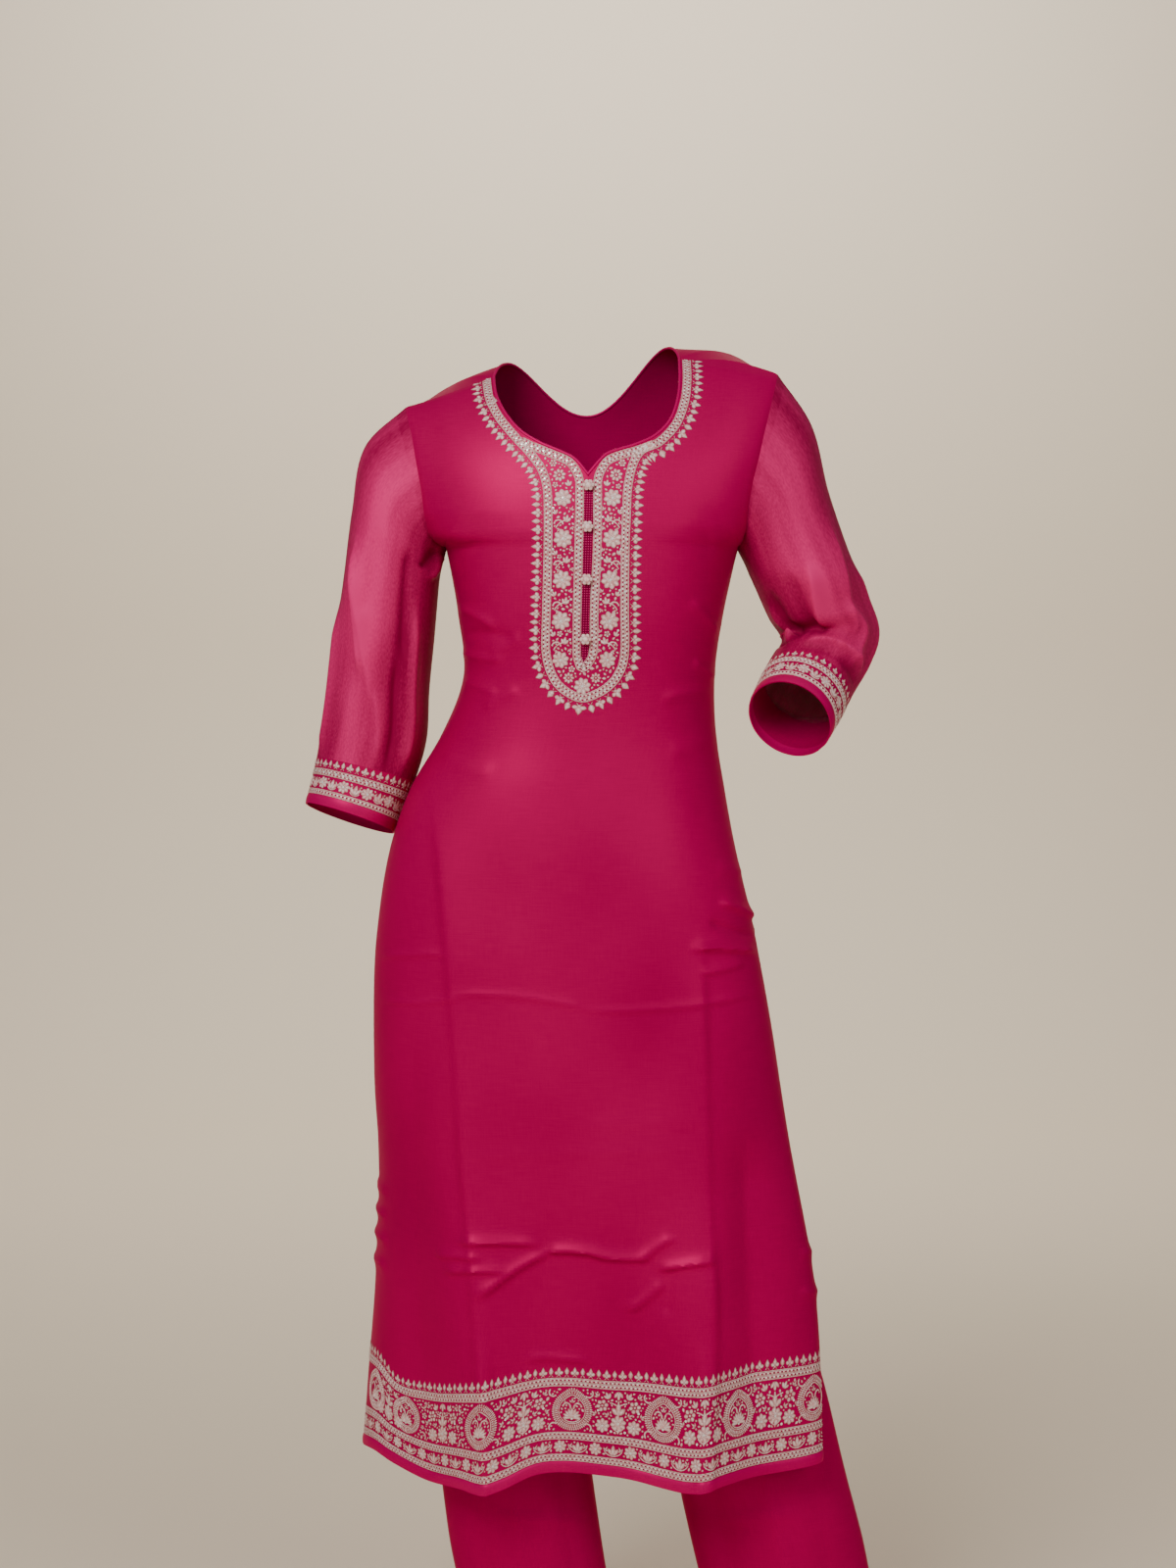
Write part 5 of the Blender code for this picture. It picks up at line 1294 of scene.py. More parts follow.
class Stitches:
    """Stitches under way, drawn flat in millimetres, then laid on the cloth by a placing."""

    def __init__(self, place, start=-1000.0, end=1000.0):
        self.place, self.start, self.end = place, start, end
        self.thread, self.sequins, self.taken = [], [], []

    def add(self, shape, s, t, turn=0.0, length=1.0, width=1.0, height=0.55, into=None):
        points, faces = shape
        cos, sin = math.cos(turn), math.sin(turn)
        u, v = points[:, 0] * length, points[:, 1] * width
        placed = np.stack([s + u * cos - v * sin, t + u * sin + v * cos,
                           points[:, 2] * height + THREAD_LIFT, points[:, 2]], 1)
        if placed[:, 0].min() >= self.start and placed[:, 0].max() <= self.end:
            (self.thread if into is None else into).append((placed, faces))
            self.taken += placed[:, :2].tolist()

    def sequin(self, s, t, size=1.8):
        self.add(DOT, s, t, 0.3, size * 1.25, size * 1.25, 0.16, self.sequins)
        self.sequins[-1:] = [(points + (0.0, 0.0, SEQUIN_LIFT, 0.0), faces)
                             for points, faces in self.sequins[-1:]]

    def dot(self, s, t, size=1.4):
        self.add(DOT, s, t, 0.0, size, size, 0.6)

    def strip(self, rows, lift, holes=None):
        """A strip of stitches through rows of points, left open where holes says so."""
        lift = np.repeat(np.asarray(lift)[None], len(rows), 0)
        points = np.dstack([rows, lift + THREAD_LIFT, lift / lift.max()]).reshape(-1, 4)
        index = np.arange(len(points)).reshape(lift.shape)
        a, b, c, d = index[:-1, :-1], index[:-1, 1:], index[1:, 1:], index[1:, :-1]
        kept = np.ones(a.shape, dtype=bool) if holes is None else ~holes
        kept &= (rows[:-1, :1, 0] >= self.start) & (rows[1:, :1, 0] <= self.end)
        quads = np.stack([a, b, c, d], -1)[kept]
        self.thread.append((points, np.concatenate([quads[:, [0, 1, 2]], quads[:, [0, 2, 3]]])))

    def cord(self, line, width=1.0, height=0.45):
        """A couched cord along a line of points: thicker and thinner where it is sewn down."""
        line = np.asarray(line, dtype=float)
        run = unit(np.gradient(line, axis=0))
        swell = np.where(np.arange(len(line)) % 2, 1.15, 0.85)[:, None] * width / 2
        side = np.stack([-run[:, 1], run[:, 0]], 1) * swell
        self.strip(np.stack([line - side, line, line + side], 1), (0.0, height, 0.0))
        self.taken += line.tolist()

    def curl(self, s, t, start, turn, reach, width=0.9, steps=7):
        """A stem that leaves a point at one angle and bends evenly by a turn."""
        angles = start + turn * np.linspace(0.0, 1.0, steps)
        moves = np.stack([np.cos(angles), np.sin(angles)], 1) * reach / steps
        line = np.concatenate([[(s, t)], (s, t) + np.cumsum(moves, axis=0)])
        self.cord(line, width)
        return line[-1]

    def flower(self, s, t, radius, petals=8, turn=0.0, shape=None):
        """An open flower: rounded petals round a padded heart."""
        for k in range(petals):
            angle = turn + 2 * math.pi * k / petals
            self.add(PETAL if shape is None else shape, s + radius * 0.27 * math.cos(angle),
                     t + radius * 0.27 * math.sin(angle), angle, radius * 0.73,
                     radius * 4.2 / petals)
        self.dot(s, t, radius * 0.44)

    def rosette(self, s, t, radius, turn=0.0):
        """A large flower: eight broad petals, eight small ones over them, and a sequin heart."""
        for k in range(8):
            angle = turn + math.pi * k / 4
            for start, reach, width, angle, lift in ((0.20, 0.80, 0.64, angle, 0.5),
                                                     (0.06, 0.40, 0.27, angle + 0.39, 0.85)):
                self.add(PETAL, s + radius * start * math.cos(angle),
                         t + radius * start * math.sin(angle), angle, radius * reach,
                         radius * width, lift)
        self.sequin(s, t, radius * 0.22)

    def tulip(self, s, t, turn, size):
        """A flower seen from the side: three petals that part, and a tip."""
        for part, reach in ((0.0, 1.0), (0.62, 0.82), (-0.62, 0.82)):
            self.add(PETAL, s, t, turn + part, size * reach, size * 0.40)

    def sprig(self, s, t, turn, size):
        """Three leaves from one point."""
        for part, reach in ((0.0, 1.0), (0.85, 0.72), (-0.85, 0.72)):
            self.add(LEAF, s, t, turn + part, size * reach, size * 0.36)

    def braid(self, start, end, bottom, rows, width=2.6, cord=1.0, gap=0.1, link=4.2):
        """Rows of chain stitch, each between two cords, with the silk showing in every link."""
        along = np.arange(start, end, link / 2)
        pitch = width + cord + 2 * gap
        for row in range(rows + 1):
            self.cord(np.stack([along, np.full(len(along), bottom + cord / 2 + row * pitch)], 1),
                      cord)
        for row in range(rows):
            holes = np.zeros((len(along) - 1, 3), dtype=bool)
            holes[row % 2::2, 1] = True
            across = bottom + cord + gap + row * pitch + np.array([0.0, 0.2, 0.8, 1.0]) * width
            line = np.stack(np.broadcast_arrays(along[:, None], across[None]), -1)
            self.strip(line, (0.1, 0.6, 0.6, 0.1), holes)

    def peaks(self, start, end, bottom, pitch, reach):
        """The pointed edge of a border: trefoils and spears in turn, on split stems."""
        count = 2 * int(round((end - start) / pitch / 2))
        for k in range(count):
            s = start + (k + 0.5) * (end - start) / count
            for side in (0.75, -0.75):
                self.add(LEAF, s, bottom + reach * 0.26, -UP + side, reach * 0.36, 0.9)
            if k % 2:
                self.add(SPEAR, s, bottom + reach * 0.20, UP, reach * 0.76, reach * 0.44)
            else:
                for side in (1.2, -1.2):
                    self.add(PETAL, s, bottom + reach * 0.34, UP + side, reach * 0.42,
                             reach * 0.38)
                self.add(SPEAR, s, bottom + reach * 0.30, UP, reach * 0.70, reach * 0.36)
                self.dot(s, bottom + reach * 0.26, reach * 0.22)

    def fill(self, low, high, random, middle=None, clear=1.7):
        """Fill the ground with small blossoms, leaves and knots, mirrored about the middle."""
        found = KDTree(len(self.taken))
        for k, (s, t) in enumerate(self.taken):
            found.insert((s, t, 0.0), k)
        found.balance()
        fresh = []
        for _ in range(int((high[0] - low[0]) * (high[1] - low[1]) * 0.9)):
            s = random.uniform(low[0], high[0])
            t = random.uniform(low[1], high[1])
            turn = random.uniform(0.0, 2 * math.pi)
            room = min(found.find((s, t, 0.0))[2], s - low[0], high[0] - s, t - low[1],
                       high[1] - t)
            if middle is not None:
                room = min(room, abs(s - middle))
            for other_s, other_t, radius in fresh:
                room = min(room, math.hypot(s - other_s, t - other_t) - radius)
            room -= clear * 0.5
            if room < 1.0:
                continue
            radius = min(room, 4.2)
            fresh.append((s, t, radius))
            sides = [(s, turn)]
            if middle is not None:
                fresh.append((2 * middle - s, t, radius))
                sides.append((2 * middle - s, math.pi - turn))
            for s, turn in sides:
                if radius > 2.4:
                    self.flower(s, t, radius, 5, turn)
                elif radius > 1.2:
                    self.add(SPEAR, s - radius * 1.2 * math.cos(turn),
                             t - radius * 1.2 * math.sin(turn), turn, radius * 2.4, radius * 1.6)
                else:
                    self.dot(s, t, radius * 2.0)

    def make(self, name, kind="embroidery", material=None, slot="thread"):
        """Lay the stitches on the cloth, facing outward; any sequins are a piece of their own."""
        for parts, what, finish in ((self.thread, kind, material or THREAD),
                                    (self.sequins, "sequins", SEQUIN)):
            if not parts:
                continue
            starts = np.cumsum([0] + [len(points) for points, _ in parts[:-1]])
            drawn = np.concatenate([points for points, _ in parts])
            faces = np.concatenate([faces + start for (_, faces), start in zip(parts, starts)])
            on_cloth, normals = self.place(drawn[:, 0], drawn[:, 1])
            points = on_cloth + normals * drawn[:, 2:3] * MM
            a, b, c = (points[faces[:, k]] for k in range(3))
            facing = np.sum(np.cross(b - a, c - a) * normals[faces[:, 0]], 1)
            faces = np.where(facing[:, None] < 0, faces[:, ::-1], faces)
            raised = np.stack([drawn[:, 3], drawn[:, 3]], 1)
            fit(mesh_object(name + "_" + what, points, faces, finish, raised), slot)


def on_grid(cloth, rows, columns_s, rows_t):
    """A placing over a grid of a cloth's points; s and t are known along its edges."""
    grid, normals = cloth.points[rows], cloth.normals()[rows]

    def place(s, t):
        column = np.interp(s, columns_s, np.arange(len(columns_s)))
        row = np.interp(t, rows_t, np.arange(len(rows_t)))
        i = np.minimum(column.astype(int), len(columns_s) - 2)
        j = np.minimum(row.astype(int), len(rows_t) - 2)
        a, b = (column - i)[:, None], (row - j)[:, None]

        def mixed(values):
            low = values[j, i] * (1 - a) + values[j, i + 1] * a
            high = values[j + 1, i] * (1 - a) + values[j + 1, i + 1] * a
            return low * (1 - b) + high * b

        return mixed(grid), unit(mixed(normals))

    return place


# ================================================================ the hem border
# The deep border of the front: peaks, a braid, a field of medallions that each frame a pair of
# birds, with flowering plants between them, a braid, a flowering vine, and a last braid.
MEDALLIONS = (-281.0, -226.0, -115.0, -16.0, 77.0, 167.0, 257.0)
LOWER_BRAID = 0.3           # heights above the plain band, in millimetres
VINE_BOTTOM = 8.0
MIDDLE_BRAID = 22.2
FIELD_BOTTOM = 30.4
FIELD_TOP = 75.8
UPPER_BRAID = 76.2
PEAKS_BOTTOM = 85.2


def drop_line(s, t, width, height):
    """A drop-shaped line that comes to a slight point at the top."""
    turns = np.linspace(0.0, 2 * math.pi, 181)
    reach = 1.0 + 0.15 * np.exp(-((turns - UP) / 0.34) ** 2)
    return np.stack([s + width / 2 * np.cos(turns), t + height / 2 * np.sin(turns) * reach], 1)


def ring(stitches, line, shape, pitch, length, breadth, outward=False, height=0.55):
    """Stitches at even steps round a closed line."""
    count = int(np.linalg.norm(np.diff(line, axis=0), axis=1).sum() / pitch)
    line = by_length(line, count + 1)
    for k in range(count):
        run = line[k + 1] - line[k]
        turn = math.atan2(run[1], run[0]) - (UP if outward else 0.0)
        stitches.add(shape, *line[k], turn, length, breadth, height)


def medallion(stitches, s, t):
    """Two facing birds over a fan of feathers, inside two rings of short stitches."""
    t -= 1.2
    stitches.taken += drop_line(s, t, 43.4, 43.4).tolist()
    ring(stitches, drop_line(s, t, 34.4, 34.8), PETAL, 1.9, 3.4, 1.9, True, 0.7)
    stitches.cord(by_length(drop_line(s, t, 34.2, 34.6), 90), 0.9, 0.7)
    ring(stitches, drop_line(s, t, 27.6, 28.2), PETAL, 1.9, 3.3, 1.9, True, 0.7)
    stitches.cord(by_length(drop_line(s, t, 26.6, 27.2), 80), 1.3, 0.7)
    for part in np.linspace(-1.62, 1.62, 9):
        stitches.add(PETAL, s, t - 7.2, UP + part, 10.4 - 0.5 * abs(part), 3.7)
        stitches.add(PETAL, s, t - 7.6, UP + part, 5.2, 2.1, 0.9)
    stitches.dot(s, t - 8.2, 3.2)
    arc = np.linspace(-2.6, -0.54, 16)
    stitches.cord(np.stack([s + 9.4 * np.cos(arc), t - 4.0 + 8.0 * np.sin(arc)], 1), 1.3)
    stitches.sprig(s, t + 7.6, UP, 6.4)
    for way in (1, -1):
        neck = [(s + way * x, t + z) for x, z in ((1.7, 1.6), (1.9, 4.2), (3.2, 6.6), (5.6, 7.6),
                                                  (8.0, 6.6), (9.2, 4.6))]
        stitches.cord(neck, 1.9, 0.6)
        stitches.dot(*neck[-1], 2.6)
    stitches.sequin(s, t - 8.2, 1.8)


def plant(stitches, s, t):
    """A flowering plant that fills the ground between two medallions."""
    stitches.cord([(s, t + y) for y in np.arange(-20.5, 12.0, 1.8)], 1.6)
    stitches.rosette(s, t - 10.4, 8.4, 0.2)
    for part, reach in ((0.0, 13.0), (0.75, 10.0), (-0.75, 10.0)):
        stitches.add(PETAL, s, t - 2.4, UP + part, reach, 5.6)
    stitches.tulip(s, t + 21.4, -UP, 9.4)
    for side in (1, -1):
        stitches.rosette(s + side * 15.8, t - 13.4, 7.6)
        stitches.flower(s + side * 16.4, t + 6.6, 6.4, 6, 0.2)
        stitches.curl(s, t - 18.6, UP - side * 1.2, side * 0.6, 8.0, 1.5)
        stitches.curl(s, t + 6.0, UP - side * 0.9, side * -0.5, 9.6, 1.5)
        stitches.tulip(s + side * 9.4, t + 13.6, UP - side * 0.5, 8.0)
        stitches.sprig(s + side * 20.6, t + 14.8, UP - side * 0.6, 6.6)
        stitches.sprig(s + side * 10.0, t - 3.4, UP - side * 1.0, 6.4)
        stitches.sprig(s + side * 22.6, t - 3.0, UP - side * 1.0, 6.4)
        stitches.curl(s + side * 27.0, t + 20.4, UP + side * 2.6, side * 2.6, 13.0, 1.8)
        stitches.curl(s + side * 28.0, t - 20.8, UP + side * 0.5, side * -2.6, 13.0, 1.8)
        stitches.sequin(s + side * 20.4, t + 1.6, 2.0)
        stitches.sequin(s + side * 7.0, t - 18.6, 2.0)


def vine(stitches, start, end, bottom, depth, pitch, radius):
    """A running vine: flowers, with a tulip and two leafy stems from each to the next."""
    count = max(1, int(round((end - start) / pitch)))
    pitch = (end - start) / count
    middle = bottom + depth / 2
    for k in range(count):
        s = start + (k + 0.5) * pitch
        stitches.rosette(s, middle, radius, 0.2)
        beyond = s + pitch / 2
        stitches.tulip(beyond, middle - depth * 0.38, UP, depth * 0.78)
        for side in (1, -1):
            stitches.curl(beyond, middle - depth * 0.40, UP + side * 1.5, side * -0.9,
                          pitch / 2 - radius, 1.2)
            stitches.sprig(beyond + side * (pitch / 4 - 0.6), middle - depth * 0.06,
                           UP + side * 0.5, depth * 0.42)
        stitches.sequin(s, middle, 1.9)
    stitches.fill((start, bottom + 0.3), (end, bottom + depth - 0.3), chance)


chance = random.Random(11)
border_rows = front_index[-front_border_rows:][::-1]
border_grid = front_cloth.points[border_rows]
border_line = border_grid[len(border_rows) // 2]
border_walk = walk_along(border_line) * 1000
centre_walk = np.interp(0.0, border_line[:, 0], border_walk)
hem_s = border_walk - centre_walk
hem_t = np.linspace(0.0, BORDER_DEPTH * 1000, len(border_rows))
hem_start, hem_end = hem_s[0] + 2.0, hem_s[-1] - 2.0
hem_stitches = Stitches(on_grid(front_cloth, border_rows, hem_s, hem_t), hem_start, hem_end)
hem_stitches.braid(hem_start, hem_end, LOWER_BRAID, 2, 2.1, 0.9)
vine(hem_stitches, hem_start, hem_end, VINE_BOTTOM, MIDDLE_BRAID - VINE_BOTTOM, 36.0, 6.8)
hem_stitches.braid(hem_start, hem_end, MIDDLE_BRAID, 2, 2.3, 0.9)
hem_stitches.braid(hem_start, hem_end, UPPER_BRAID, 2, 2.7, 1.0)
hem_stitches.peaks(hem_start, hem_end, PEAKS_BOTTOM, 8.0, 11.2)
field_middle = (FIELD_BOTTOM + FIELD_TOP) / 2
for centre in MEDALLIONS:
    medallion(hem_stitches, centre, field_middle)
gaps = [(first, second, (first + second) / 2) for first, second in zip(MEDALLIONS, MEDALLIONS[1:])]
for _, _, middle in gaps:
    plant(hem_stitches, middle, field_middle)
for first, second, middle in gaps:
    hem_stitches.fill((first, FIELD_BOTTOM), (second, FIELD_TOP), chance, middle)
hem_stitches.make("hem")

# ================================================================ the cuff borders
# Round each wrist: peaks, a braid with sequins, a band of flowers, and a braid.  It is the same
# thread work as the hem's, drawn smaller, and it runs round the whole border.
CUFF_LOWER_BRAID = 0.3      # heights above the wrist band, in millimetres
CUFF_VINE_BOTTOM = 6.6
CUFF_VINE_DEPTH = 14.6
CUFF_UPPER_BRAID = 21.8
CUFF_SEQUINS = 25.6
CUFF_PEAKS_BOTTOM = 30.6
CUFF_PEAKS_REACH = 10.5


def cuff_stitches(arm, way, name):
    cloth, index = arm["border"]
    index = np.concatenate([index, index[:, :1]], 1)[::-1, ::way]
    grid = cloth.points[index]
    depth = np.linalg.norm(grid[0] - grid[-1], axis=1).mean() * 1000
    s = walk_along(grid[len(grid) // 2]) * 1000
    stitches = Stitches(on_grid(cloth, index, s, np.linspace(0.0, depth, len(index))))
    stitches.braid(0.0, s[-1], CUFF_LOWER_BRAID, 1, 3.4, 1.2)
    vine(stitches, 0.0, s[-1], CUFF_VINE_BOTTOM, CUFF_VINE_DEPTH, 27.0, 7.0)
    stitches.braid(0.0, s[-1], CUFF_UPPER_BRAID, 2, 2.3, 0.9)
    for place in np.arange(4.0, s[-1], 8.2):
        stitches.sequin(place, CUFF_SEQUINS, 2.2)
    reach = min(depth - CUFF_PEAKS_BOTTOM - 0.2, CUFF_PEAKS_REACH)
    stitches.peaks(0.0, s[-1], CUFF_PEAKS_BOTTOM, 7.8, reach)
    stitches.make(name)


cuff_stitches(right_arm, -1, "right_cuff")
cuff_stitches(left_arm, 1, "left_cuff")

# ================================================================ the yoke
# Round the front neck and down both sides of the slot: a double braid with peaks outside it,
# another double braid along the neck edge and the slot, and flowers with leaves in the field
# between.  Its lines are rows of places, across and in height, in millimetres.
OUTER_RIGHT = ((-102.1, -19.5), (-100.7, -30), (-97.6, -43.5), (-87.7, -62.7), (-70.7, -83.7),
               (-60.2, -95.1), (-52.6, -104.6), (-46.8, -113.2), (-42.1, -125.5), (-39.7, -144.6),
               (-39.7, -192.3), (-41.2, -249.6), (-42.2, -283.1), (-41.2, -297.4), (-37.8, -311),
               (-30.8, -324), (-19.5, -333.6), (-5.3, -338.8))
OUTER_LEFT = ((99.2, 0.3), (98.8, -25), (95.7, -47), (86.8, -69.8), (70.7, -87.5), (54.5, -95.1),
              (46.8, -104.6), (42.1, -117.9), (39.2, -135), (38.3, -154.1), (36.9, -192.3),
              (36.4, -249.6), (36.9, -283.1), (35.5, -301.3), (31.2, -313.5), (23.6, -324.2),
              (11.2, -333.2), (-5.3, -338.8))
INNER_RIGHT = ((-65.5, -86.2), (-56, -91.2), (-47.7, -94.5), (-33.4, -100.6), (-21, -105.8),
               (-13.4, -113.4), (-8.6, -124.9), (-8.1, -140.1), (-9.1, -192.4), (-10.5, -249.7),
               (-11, -292.7), (-9.6, -301.3), (-5.7, -308.9))
INNER_LEFT = ((65, -89.5), (57, -92.8), (48.7, -95.9), (34.4, -100.1), (21.9, -104.9),
              (15.3, -111.5), (10, -123.9), (9.5, -140.1), (9.1, -192.4), (6.2, -249.7),
              (5.7, -287.9), (1.9, -301.3), (-5.7, -308.9))
FLOWER_COLUMNS = ("across", "height", "size")
YOKE_FLOWERS_RIGHT = ((-24.4, -142.8, 9.2), (-24.4, -182.5, 9.8), (-25.2, -222.5, 9.8),
                      (-26.4, -262.5, 9.8), (-27.0, -300.6, 8.8))
YOKE_FLOWERS_LEFT = ((24.0, -142.8, 9.2), (23.6, -182.5, 9.8), (22.0, -222.5, 9.8),
                     (21.0, -262.5, 9.8), (19.0, -300.6, 8.8))
front_tree = front_cloth.tree()


def on_front(s, t):
    """The place on the front cloth of points seen straight on, in millimetres."""
    points, normals = [], []
    for x, z in zip(s, t):
        hit, normal, _, _ = front_tree.ray_cast((x * MM, -0.5, z * MM), (0.0, 1.0, 0.0))
        if hit is None:
            hit, normal, _, _ = front_tree.find_nearest((x * MM, -0.10, z * MM))
        points.append(hit)
        normals.append(normal if normal.y < 0 or normal.z > 0 else -normal)
    return np.array(points), np.array(normals)


def along_path(right, left):
    """A placing along a line seen from the front: t is the distance out from it."""
    line = np.array(right + left[::-1][1:])
    marks = np.arange(len(line), dtype=float)
    line = by_length(smooth_curve(marks, line, np.linspace(0, marks[-1], 900)), 700)
    run = unit(np.gradient(line, axis=0))
    out = np.stack([run[:, 1], -run[:, 0]], 1)
    laid, _ = on_front(line[:, 0], line[:, 1])
    walk = walk_along(laid) * 1000

    def place(s, t):
        x, z, side_x, side_z = (np.interp(s, walk, values)
                                for values in (line[:, 0], line[:, 1], out[:, 0], out[:, 1]))
        return on_front(x + side_x * t, z + side_z * t)

    return place, walk[-1]


outer_place, outer_length = along_path(OUTER_RIGHT, OUTER_LEFT)
outer_stitches = Stitches(outer_place)
outer_stitches.braid(0.5, outer_length - 0.5, -4.9, 2, 2.6, 1.0)
for s in np.arange(5.0, outer_length - 4.0, 8.6):
    outer_stitches.sequin(s, -0.5, 1.7)
outer_stitches.peaks(1.0, outer_length - 1.0, 4.2, 8.2, 12.2)
outer_stitches.make("yoke_edge")
inner_place, inner_length = along_path(INNER_RIGHT, INNER_LEFT)
inner_stitches = Stitches(inner_place)
inner_stitches.braid(0.0, inner_length, -4.4, 2, 2.6, 1.0)
for s in np.arange(6.0, inner_length - 4.0, 6.4):
    inner_stitches.sequin(s, 0.0, 1.8)
inner_stitches.make("yoke_slot")

field = Stitches(on_front)
for flowers, side in ((YOKE_FLOWERS_RIGHT, -1), (YOKE_FLOWERS_LEFT, 1)):
    for row, flower in enumerate(flowers):
        at = dict(zip(FLOWER_COLUMNS, flower))
        s, t = at["across"], at["height"]
        field.rosette(s, t, at["size"], 0.2)
        if row == 0:
            continue
        last_s, last_t, _ = flowers[row - 1]
        middle_s, middle_t = (s + last_s) / 2, (t + last_t) / 2
        field.curl(middle_s + side * 7.0, middle_t - 9.5, UP + side * 0.5, side * 1.2, 17.0, 1.5)
        field.curl(middle_s, middle_t - 6.0, UP - side * 0.2, side * -2.6, 13.0, 1.7)
        field.tulip(middle_s - side * 3.2, middle_t - 4.0, UP + side * 0.2, 8.0)
        field.tulip(middle_s + side * 6.4, middle_t + 4.0, UP - side * 0.5, 6.0)
        field.sprig(middle_s - side * 8.0, middle_t + 7.6, UP + side * 0.4, 5.4)
        field.sprig(middle_s + side * 3.4, middle_t - 10.0, -UP + side * 0.6, 5.0)
        field.sprig(middle_s - side * 8.2, middle_t - 8.4, -UP - side * 0.5, 5.2)
        field.sequin(middle_s + side * 9.4, middle_t + 9.8)
        field.sequin(middle_s - side * 9.2, middle_t + 1.0)
    top_s = flowers[0][0]
    field.flower(top_s + side * 3.6, -120.4, 6.6, 8, 0.2)
    field.tulip(top_s - side * 6.0, -131.4, UP - side * 0.2, 7.0)
    field.flower(top_s + side * 9.6, -108.6, 4.0, 6)
field.rosette(-5.6, -326.4, 8.8, 0.2)
field.flower(-19.0, -318.4, 5.6, 8)
field.flower(7.6, -318.4, 5.4, 8)
for line, away in (((OUTER_RIGHT, OUTER_LEFT), 5.6), ((INNER_RIGHT, INNER_LEFT), 4.2)):
    for part in line:
        edge = by_length(np.array(part), 260)
        field.taken += edge.tolist()
        for reach in (away * 0.5, away * 0.9):
            run = unit(np.gradient(edge, axis=0))
            side = np.stack([-run[:, 1], run[:, 0]], 1) * reach
            field.taken += (edge + side).tolist() + (edge - side).tolist()
outline = OUTER_RIGHT[5:] + OUTER_LEFT[::-1][:-5]
slot = INNER_RIGHT[1:] + INNER_LEFT[::-1][:-1]


def within(spot, line):
    """Whether a spot lies inside a closed line, by counting the crossings to one side."""
    crossings = 0
    for (x0, z0), (x1, z1) in zip(line, line[1:] + line[:1]):
        if (z0 > spot[1]) != (z1 > spot[1]):
            crossings += spot[0] < x0 + (spot[1] - z0) * (x1 - x0) / (z1 - z0)
    return crossings % 2 == 1


for s in np.arange(-120.0, 121.0, 1.2):
    for t in np.arange(-345.0, -84.0, 1.2):
        if not within((s, t), outline) or within((s, t), slot):
            field.taken.append([s, t])
field.fill((-46.0, -342.0), (46.0, -96.0), chance)
field.make("yoke_field")

# ================================================================ the slot and its buttons
# A ribbed strip of magenta knots fills the slot below the V, and four balls bound in thread,
# each in the shape of a small flower, are sewn down it.
INSERT_HALF = 4.6
INSERT_STEPS = (90, 7)      # mesh points down the strip and across it
INSERT_LIFT = 0.0004
KNOT_PITCH = 2.4
KNOT_SPACING = 2.3
GROUND_LIGHT = (0.240, 0.0001, 0.040)
GROUND_DARK = (0.150, 0.0001, 0.024)
# A knot's colour runs from painted shade where it meets the ground to painted light on its crown.
KNOT_PAINTED_SHADE = (0.16, 0.0002, 0.030)
KNOT_LIT_CROWN = (0.78, 0.008, 0.200)


def slot_middle(t):
    """Where the slot's middle line is at a height, in millimetres: it leans as it goes down."""
    return np.interp(-t, (129.0, 308.0), (0.9, -4.2))


def ribbed_strip():
    low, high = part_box("placket_insert")
    heights = np.linspace(high[2], low[2], INSERT_STEPS[0])[:, None] * 1000
    x = np.linspace(-INSERT_HALF, INSERT_HALF, INSERT_STEPS[1])
    grid = np.dstack([slot_middle(heights) + x, np.repeat(heights, len(x), 1)])
    points, normals = on_front(grid[..., 0].ravel(), grid[..., 1].ravel())
    strip = Cloth()
    strip.add_grid((points + normals * INSERT_LIFT).reshape(*INSERT_STEPS, 3), grid * MM)
    strip.face_outward(inside_kameez)
    ground = silk_finish("slot_ground", GROUND_LIGHT, GROUND_DARK, 0.6)
    fit(strip.make("slot_strip", ground, 0.0), "insert", "placket_insert")
    knots = Stitches(on_front)
    for t in np.arange(high[2] * 1000 - 2.0, low[2] * 1000 + 1.5, -KNOT_PITCH):
        for column in (-1.5, -0.5, 0.5, 1.5):
            knots.add(DOT, slot_middle(t) + column * KNOT_SPACING, t, 0.0, 2.1, 2.0, 0.75)
    return knots


knots = ribbed_strip()


def knot_finish():
    """Magenta thread, knotted: painted light on the crowns, painted shade where they meet the
    ground.
    """
    finish = Finish("magenta_knots", Roughness=0.5, Specular_IOR_Level=0.3)
    finish.feed("Base Color", finish.blend(raised_part(finish), KNOT_PAINTED_SHADE, KNOT_LIT_CROWN))
    strands = finish.noise(finish.node("ShaderNodeNewGeometry"), 2.0, 2400.0)
    finish.bump(strands, 0.0002, 0.5)
    return finish.material


knots.make("slot", "knots", knot_finish(), "insert")
BALL_RINGS = 14
BALL_SIDES = 36
MOAT = 0.60                 # how far from its crown a ball's ring-shaped dip runs, as an angle


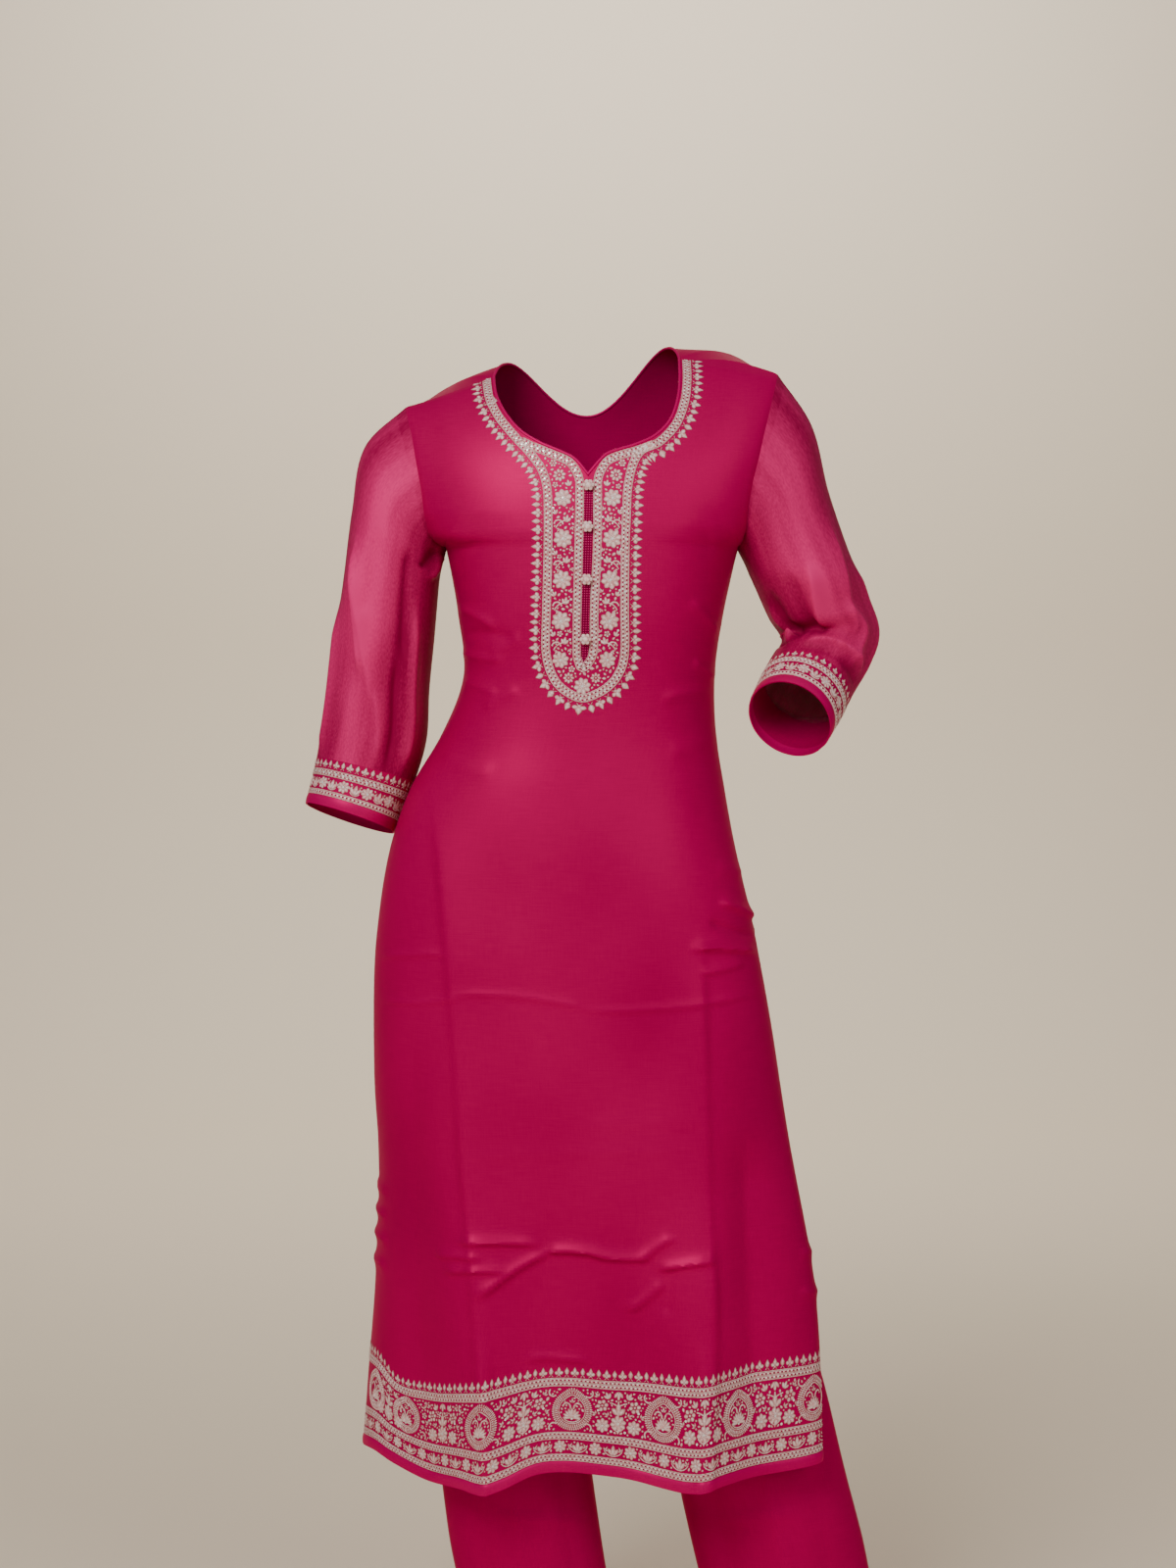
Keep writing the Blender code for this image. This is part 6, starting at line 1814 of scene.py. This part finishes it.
def button(number):
    """A ball bound in thread, with six rounded petals round a small crown."""
    node = "button_%d" % number
    low, high = (np.array(corner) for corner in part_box(node))
    centre, half = (low + high) / 2, (high - low) / 2
    points, lit_part = [], []
    for r in range(BALL_RINGS + 1):
        slope = math.pi * (r + 0.5) / (BALL_RINGS + 1)
        ring_part = math.sin(slope)
        moat = math.exp(-((slope - MOAT) / 0.16) ** 2)
        crown = 1.0 + 0.10 * math.exp(-(slope / 0.35) ** 2) - 0.16 * moat
        for k in range(BALL_SIDES):
            turn = 2 * math.pi * k / BALL_SIDES
            valley = ring_part * (1 - abs(math.cos(3 * turn)))
            lobe = 1.0 - 0.22 * valley
            # Painted shade in the valleys between the petals and in the ring-shaped dip, through the
            # thread's colour.
            lit_part.append(max(0.0, 1.0 - 1.2 * valley**3 - 0.8 * moat))
            points.append((ring_part * math.cos(turn) * half[0] * lobe,
                           -math.cos(slope) * half[1] * crown,
                           ring_part * math.sin(turn) * half[2] * lobe))
    index = np.arange(len(points)).reshape(BALL_RINGS + 1, BALL_SIDES)
    beside = np.roll(index, -1, 1)
    faces = np.stack([index[:-1], index[1:], beside[1:], beside[:-1]], -1).reshape(-1, 4)
    caps = [index[0].tolist(), index[-1, ::-1].tolist()]
    faces = np.array(faces.tolist() + caps, dtype=object)
    fit(mesh_object("ball_%d" % number, np.array(points) + centre, faces, THREAD,
                    np.stack([lit_part, lit_part], 1)), "thread", node)


for number in (1, 2, 3, 4):
    button(number)

# ================================================================ studio
# A pale floor and backdrop in one sweep, a soft light from the upper left of the view, a weaker
# one from the right, one on the wall, a faint one from behind, an even light from all round,
# and the camera.
STUDIO = Finish("studio_paper", Roughness=0.95, Specular_IOR_Level=0.1)
STUDIO.shader.inputs["Base Color"].default_value = (0.88, 0.76, 0.60, 1.0)
FLOOR_HEIGHT = TROUSER_HEM - 0.045


def sweep():
    """Floor and backdrop: a flat run that curves up into a wall."""
    profile = [(-6.0, 0.0), (3.6, 0.0)]
    profile += [(3.6 + 1.2 * math.sin(a), 1.2 - 1.2 * math.cos(a))
                for a in np.linspace(0.1, math.pi / 2, 12)]
    profile += [(4.8, 6.0)]
    grid = np.array([[(x, y, FLOOR_HEIGHT + z) for x in (-9.0, 9.0)] for y, z in profile])
    paper = Cloth()
    paper.add_grid(grid, grid[..., :2])
    paper.face_outward(lambda points: points + (0.0, 3.0, -3.0))
    return paper.make("studio_sweep", STUDIO.material, 0.0)


sweep()


def soft_light(name, place, target, width, height, power, colour):
    lamp = bpy.data.lights.new(name, "AREA")
    lamp.shape = "RECTANGLE"
    lamp.size = width
    lamp.size_y = height
    lamp.energy = power
    lamp.color = colour
    made = bpy.data.objects.new(name, lamp)
    made.location = place
    made.rotation_euler = (Vector(target) - Vector(place)).to_track_quat("-Z", "Y").to_euler()
    bpy.context.scene.collection.objects.link(made)


soft_light("key", (-0.9, -2.0, 0.9), (-0.05, 0.0, -0.25), 1.1, 1.1, 49.0, (1.0, 0.985, 0.96))
soft_light("fill", (1.7, -2.0, 0.35), (0.0, 0.0, -0.25), 1.2, 1.2, 14.5, (1.0, 0.98, 0.97))
soft_light("wall", (0.0, 2.7, 2.2), (0.0, 4.7, 0.2), 3.0, 1.2, 100.0, (1.0, 0.98, 0.95))
soft_light("rear", (1.0, 2.4, 1.9), (0.0, 0.0, -0.6), 1.6, 1.2, 4.0, (1.0, 1.0, 1.0))
world = bpy.data.worlds.new("studio_air")
world.use_nodes = True
world.node_tree.nodes["Background"].inputs[0].default_value = (1.0, 0.98, 0.96, 1.0)
world.node_tree.nodes["Background"].inputs[1].default_value = 0.25
bpy.context.scene.world = world

CAMERA_DISTANCE = 2.7
CAMERA_HEIGHT = -0.307
CAMERA_DROP = 0.120         # how much lower the middle of the view is at the suit
CAMERA_TILT = math.atan(CAMERA_DROP / CAMERA_DISTANCE)
lens = bpy.data.cameras.new("camera")
lens.lens = 60.75
lens.sensor_width = 36.0
camera = bpy.data.objects.new("camera", lens)
camera.location = (0.0, -CAMERA_DISTANCE, CAMERA_HEIGHT)
camera.rotation_euler = (math.pi / 2 - CAMERA_TILT, 0.0, 0.0)
bpy.context.scene.collection.objects.link(camera)
bpy.context.scene.camera = camera

# ================================================================ the cuts
# Each cloth's flat cut and its sizes, in a table that the loop below walks without using.  A star
# stands for the right piece and then for the left one.
FRONT_WORK = tuple(part + work for part in ("yoke_edge", "yoke_slot", "yoke_field", "hem")
                   for work in ("_embroidery", "_sequins"))
FRONT_WORK += ("neck_piping_cord", "ball_1", "ball_2", "ball_3", "ball_4")
CUT_COLUMNS = ("piece", "width", "length", "area", "held", "rests_on", "with_pieces")
CUTS = (
    ("front", 0.590, 1.170, 0.505, "hung", ("back",), FRONT_WORK),
    ("back", 0.540, 1.170, 0.507, "hung", ("front",), ()),
    ("front_hem_band", 0.570, 0.0115, None, "folded", ("front",), ()),
    ("back_hem_band", 0.490, 0.0115, None, "folded", ("back",), ()),
    ("*_sleeve", 0.380, 0.360, 0.104, "gathered", ("front", "back"), ()),
    ("*_cuff_border", 0.300, 0.042, None, "hung", ("*_sleeve",),
     ("*_cuff_embroidery", "*_cuff_sequins")),
    ("*_cuff_band", 0.300, 0.011, None, "folded", ("*_cuff_border",), ()),
    ("*_trouser", 0.520, 0.975, 0.410, "hung", ("waistband_silk",), ()),
    ("waistband_silk", 0.650, 0.036, None, "hung", (), ()),
    ("slot_strip", 0.010, 0.178, None, "laid", ("front",), ("slot_knots",)),
)
for row in CUTS:
    cut = dict(zip(CUT_COLUMNS, row))
    for side in ("right", "left") if "*" in cut["piece"] else ("",):
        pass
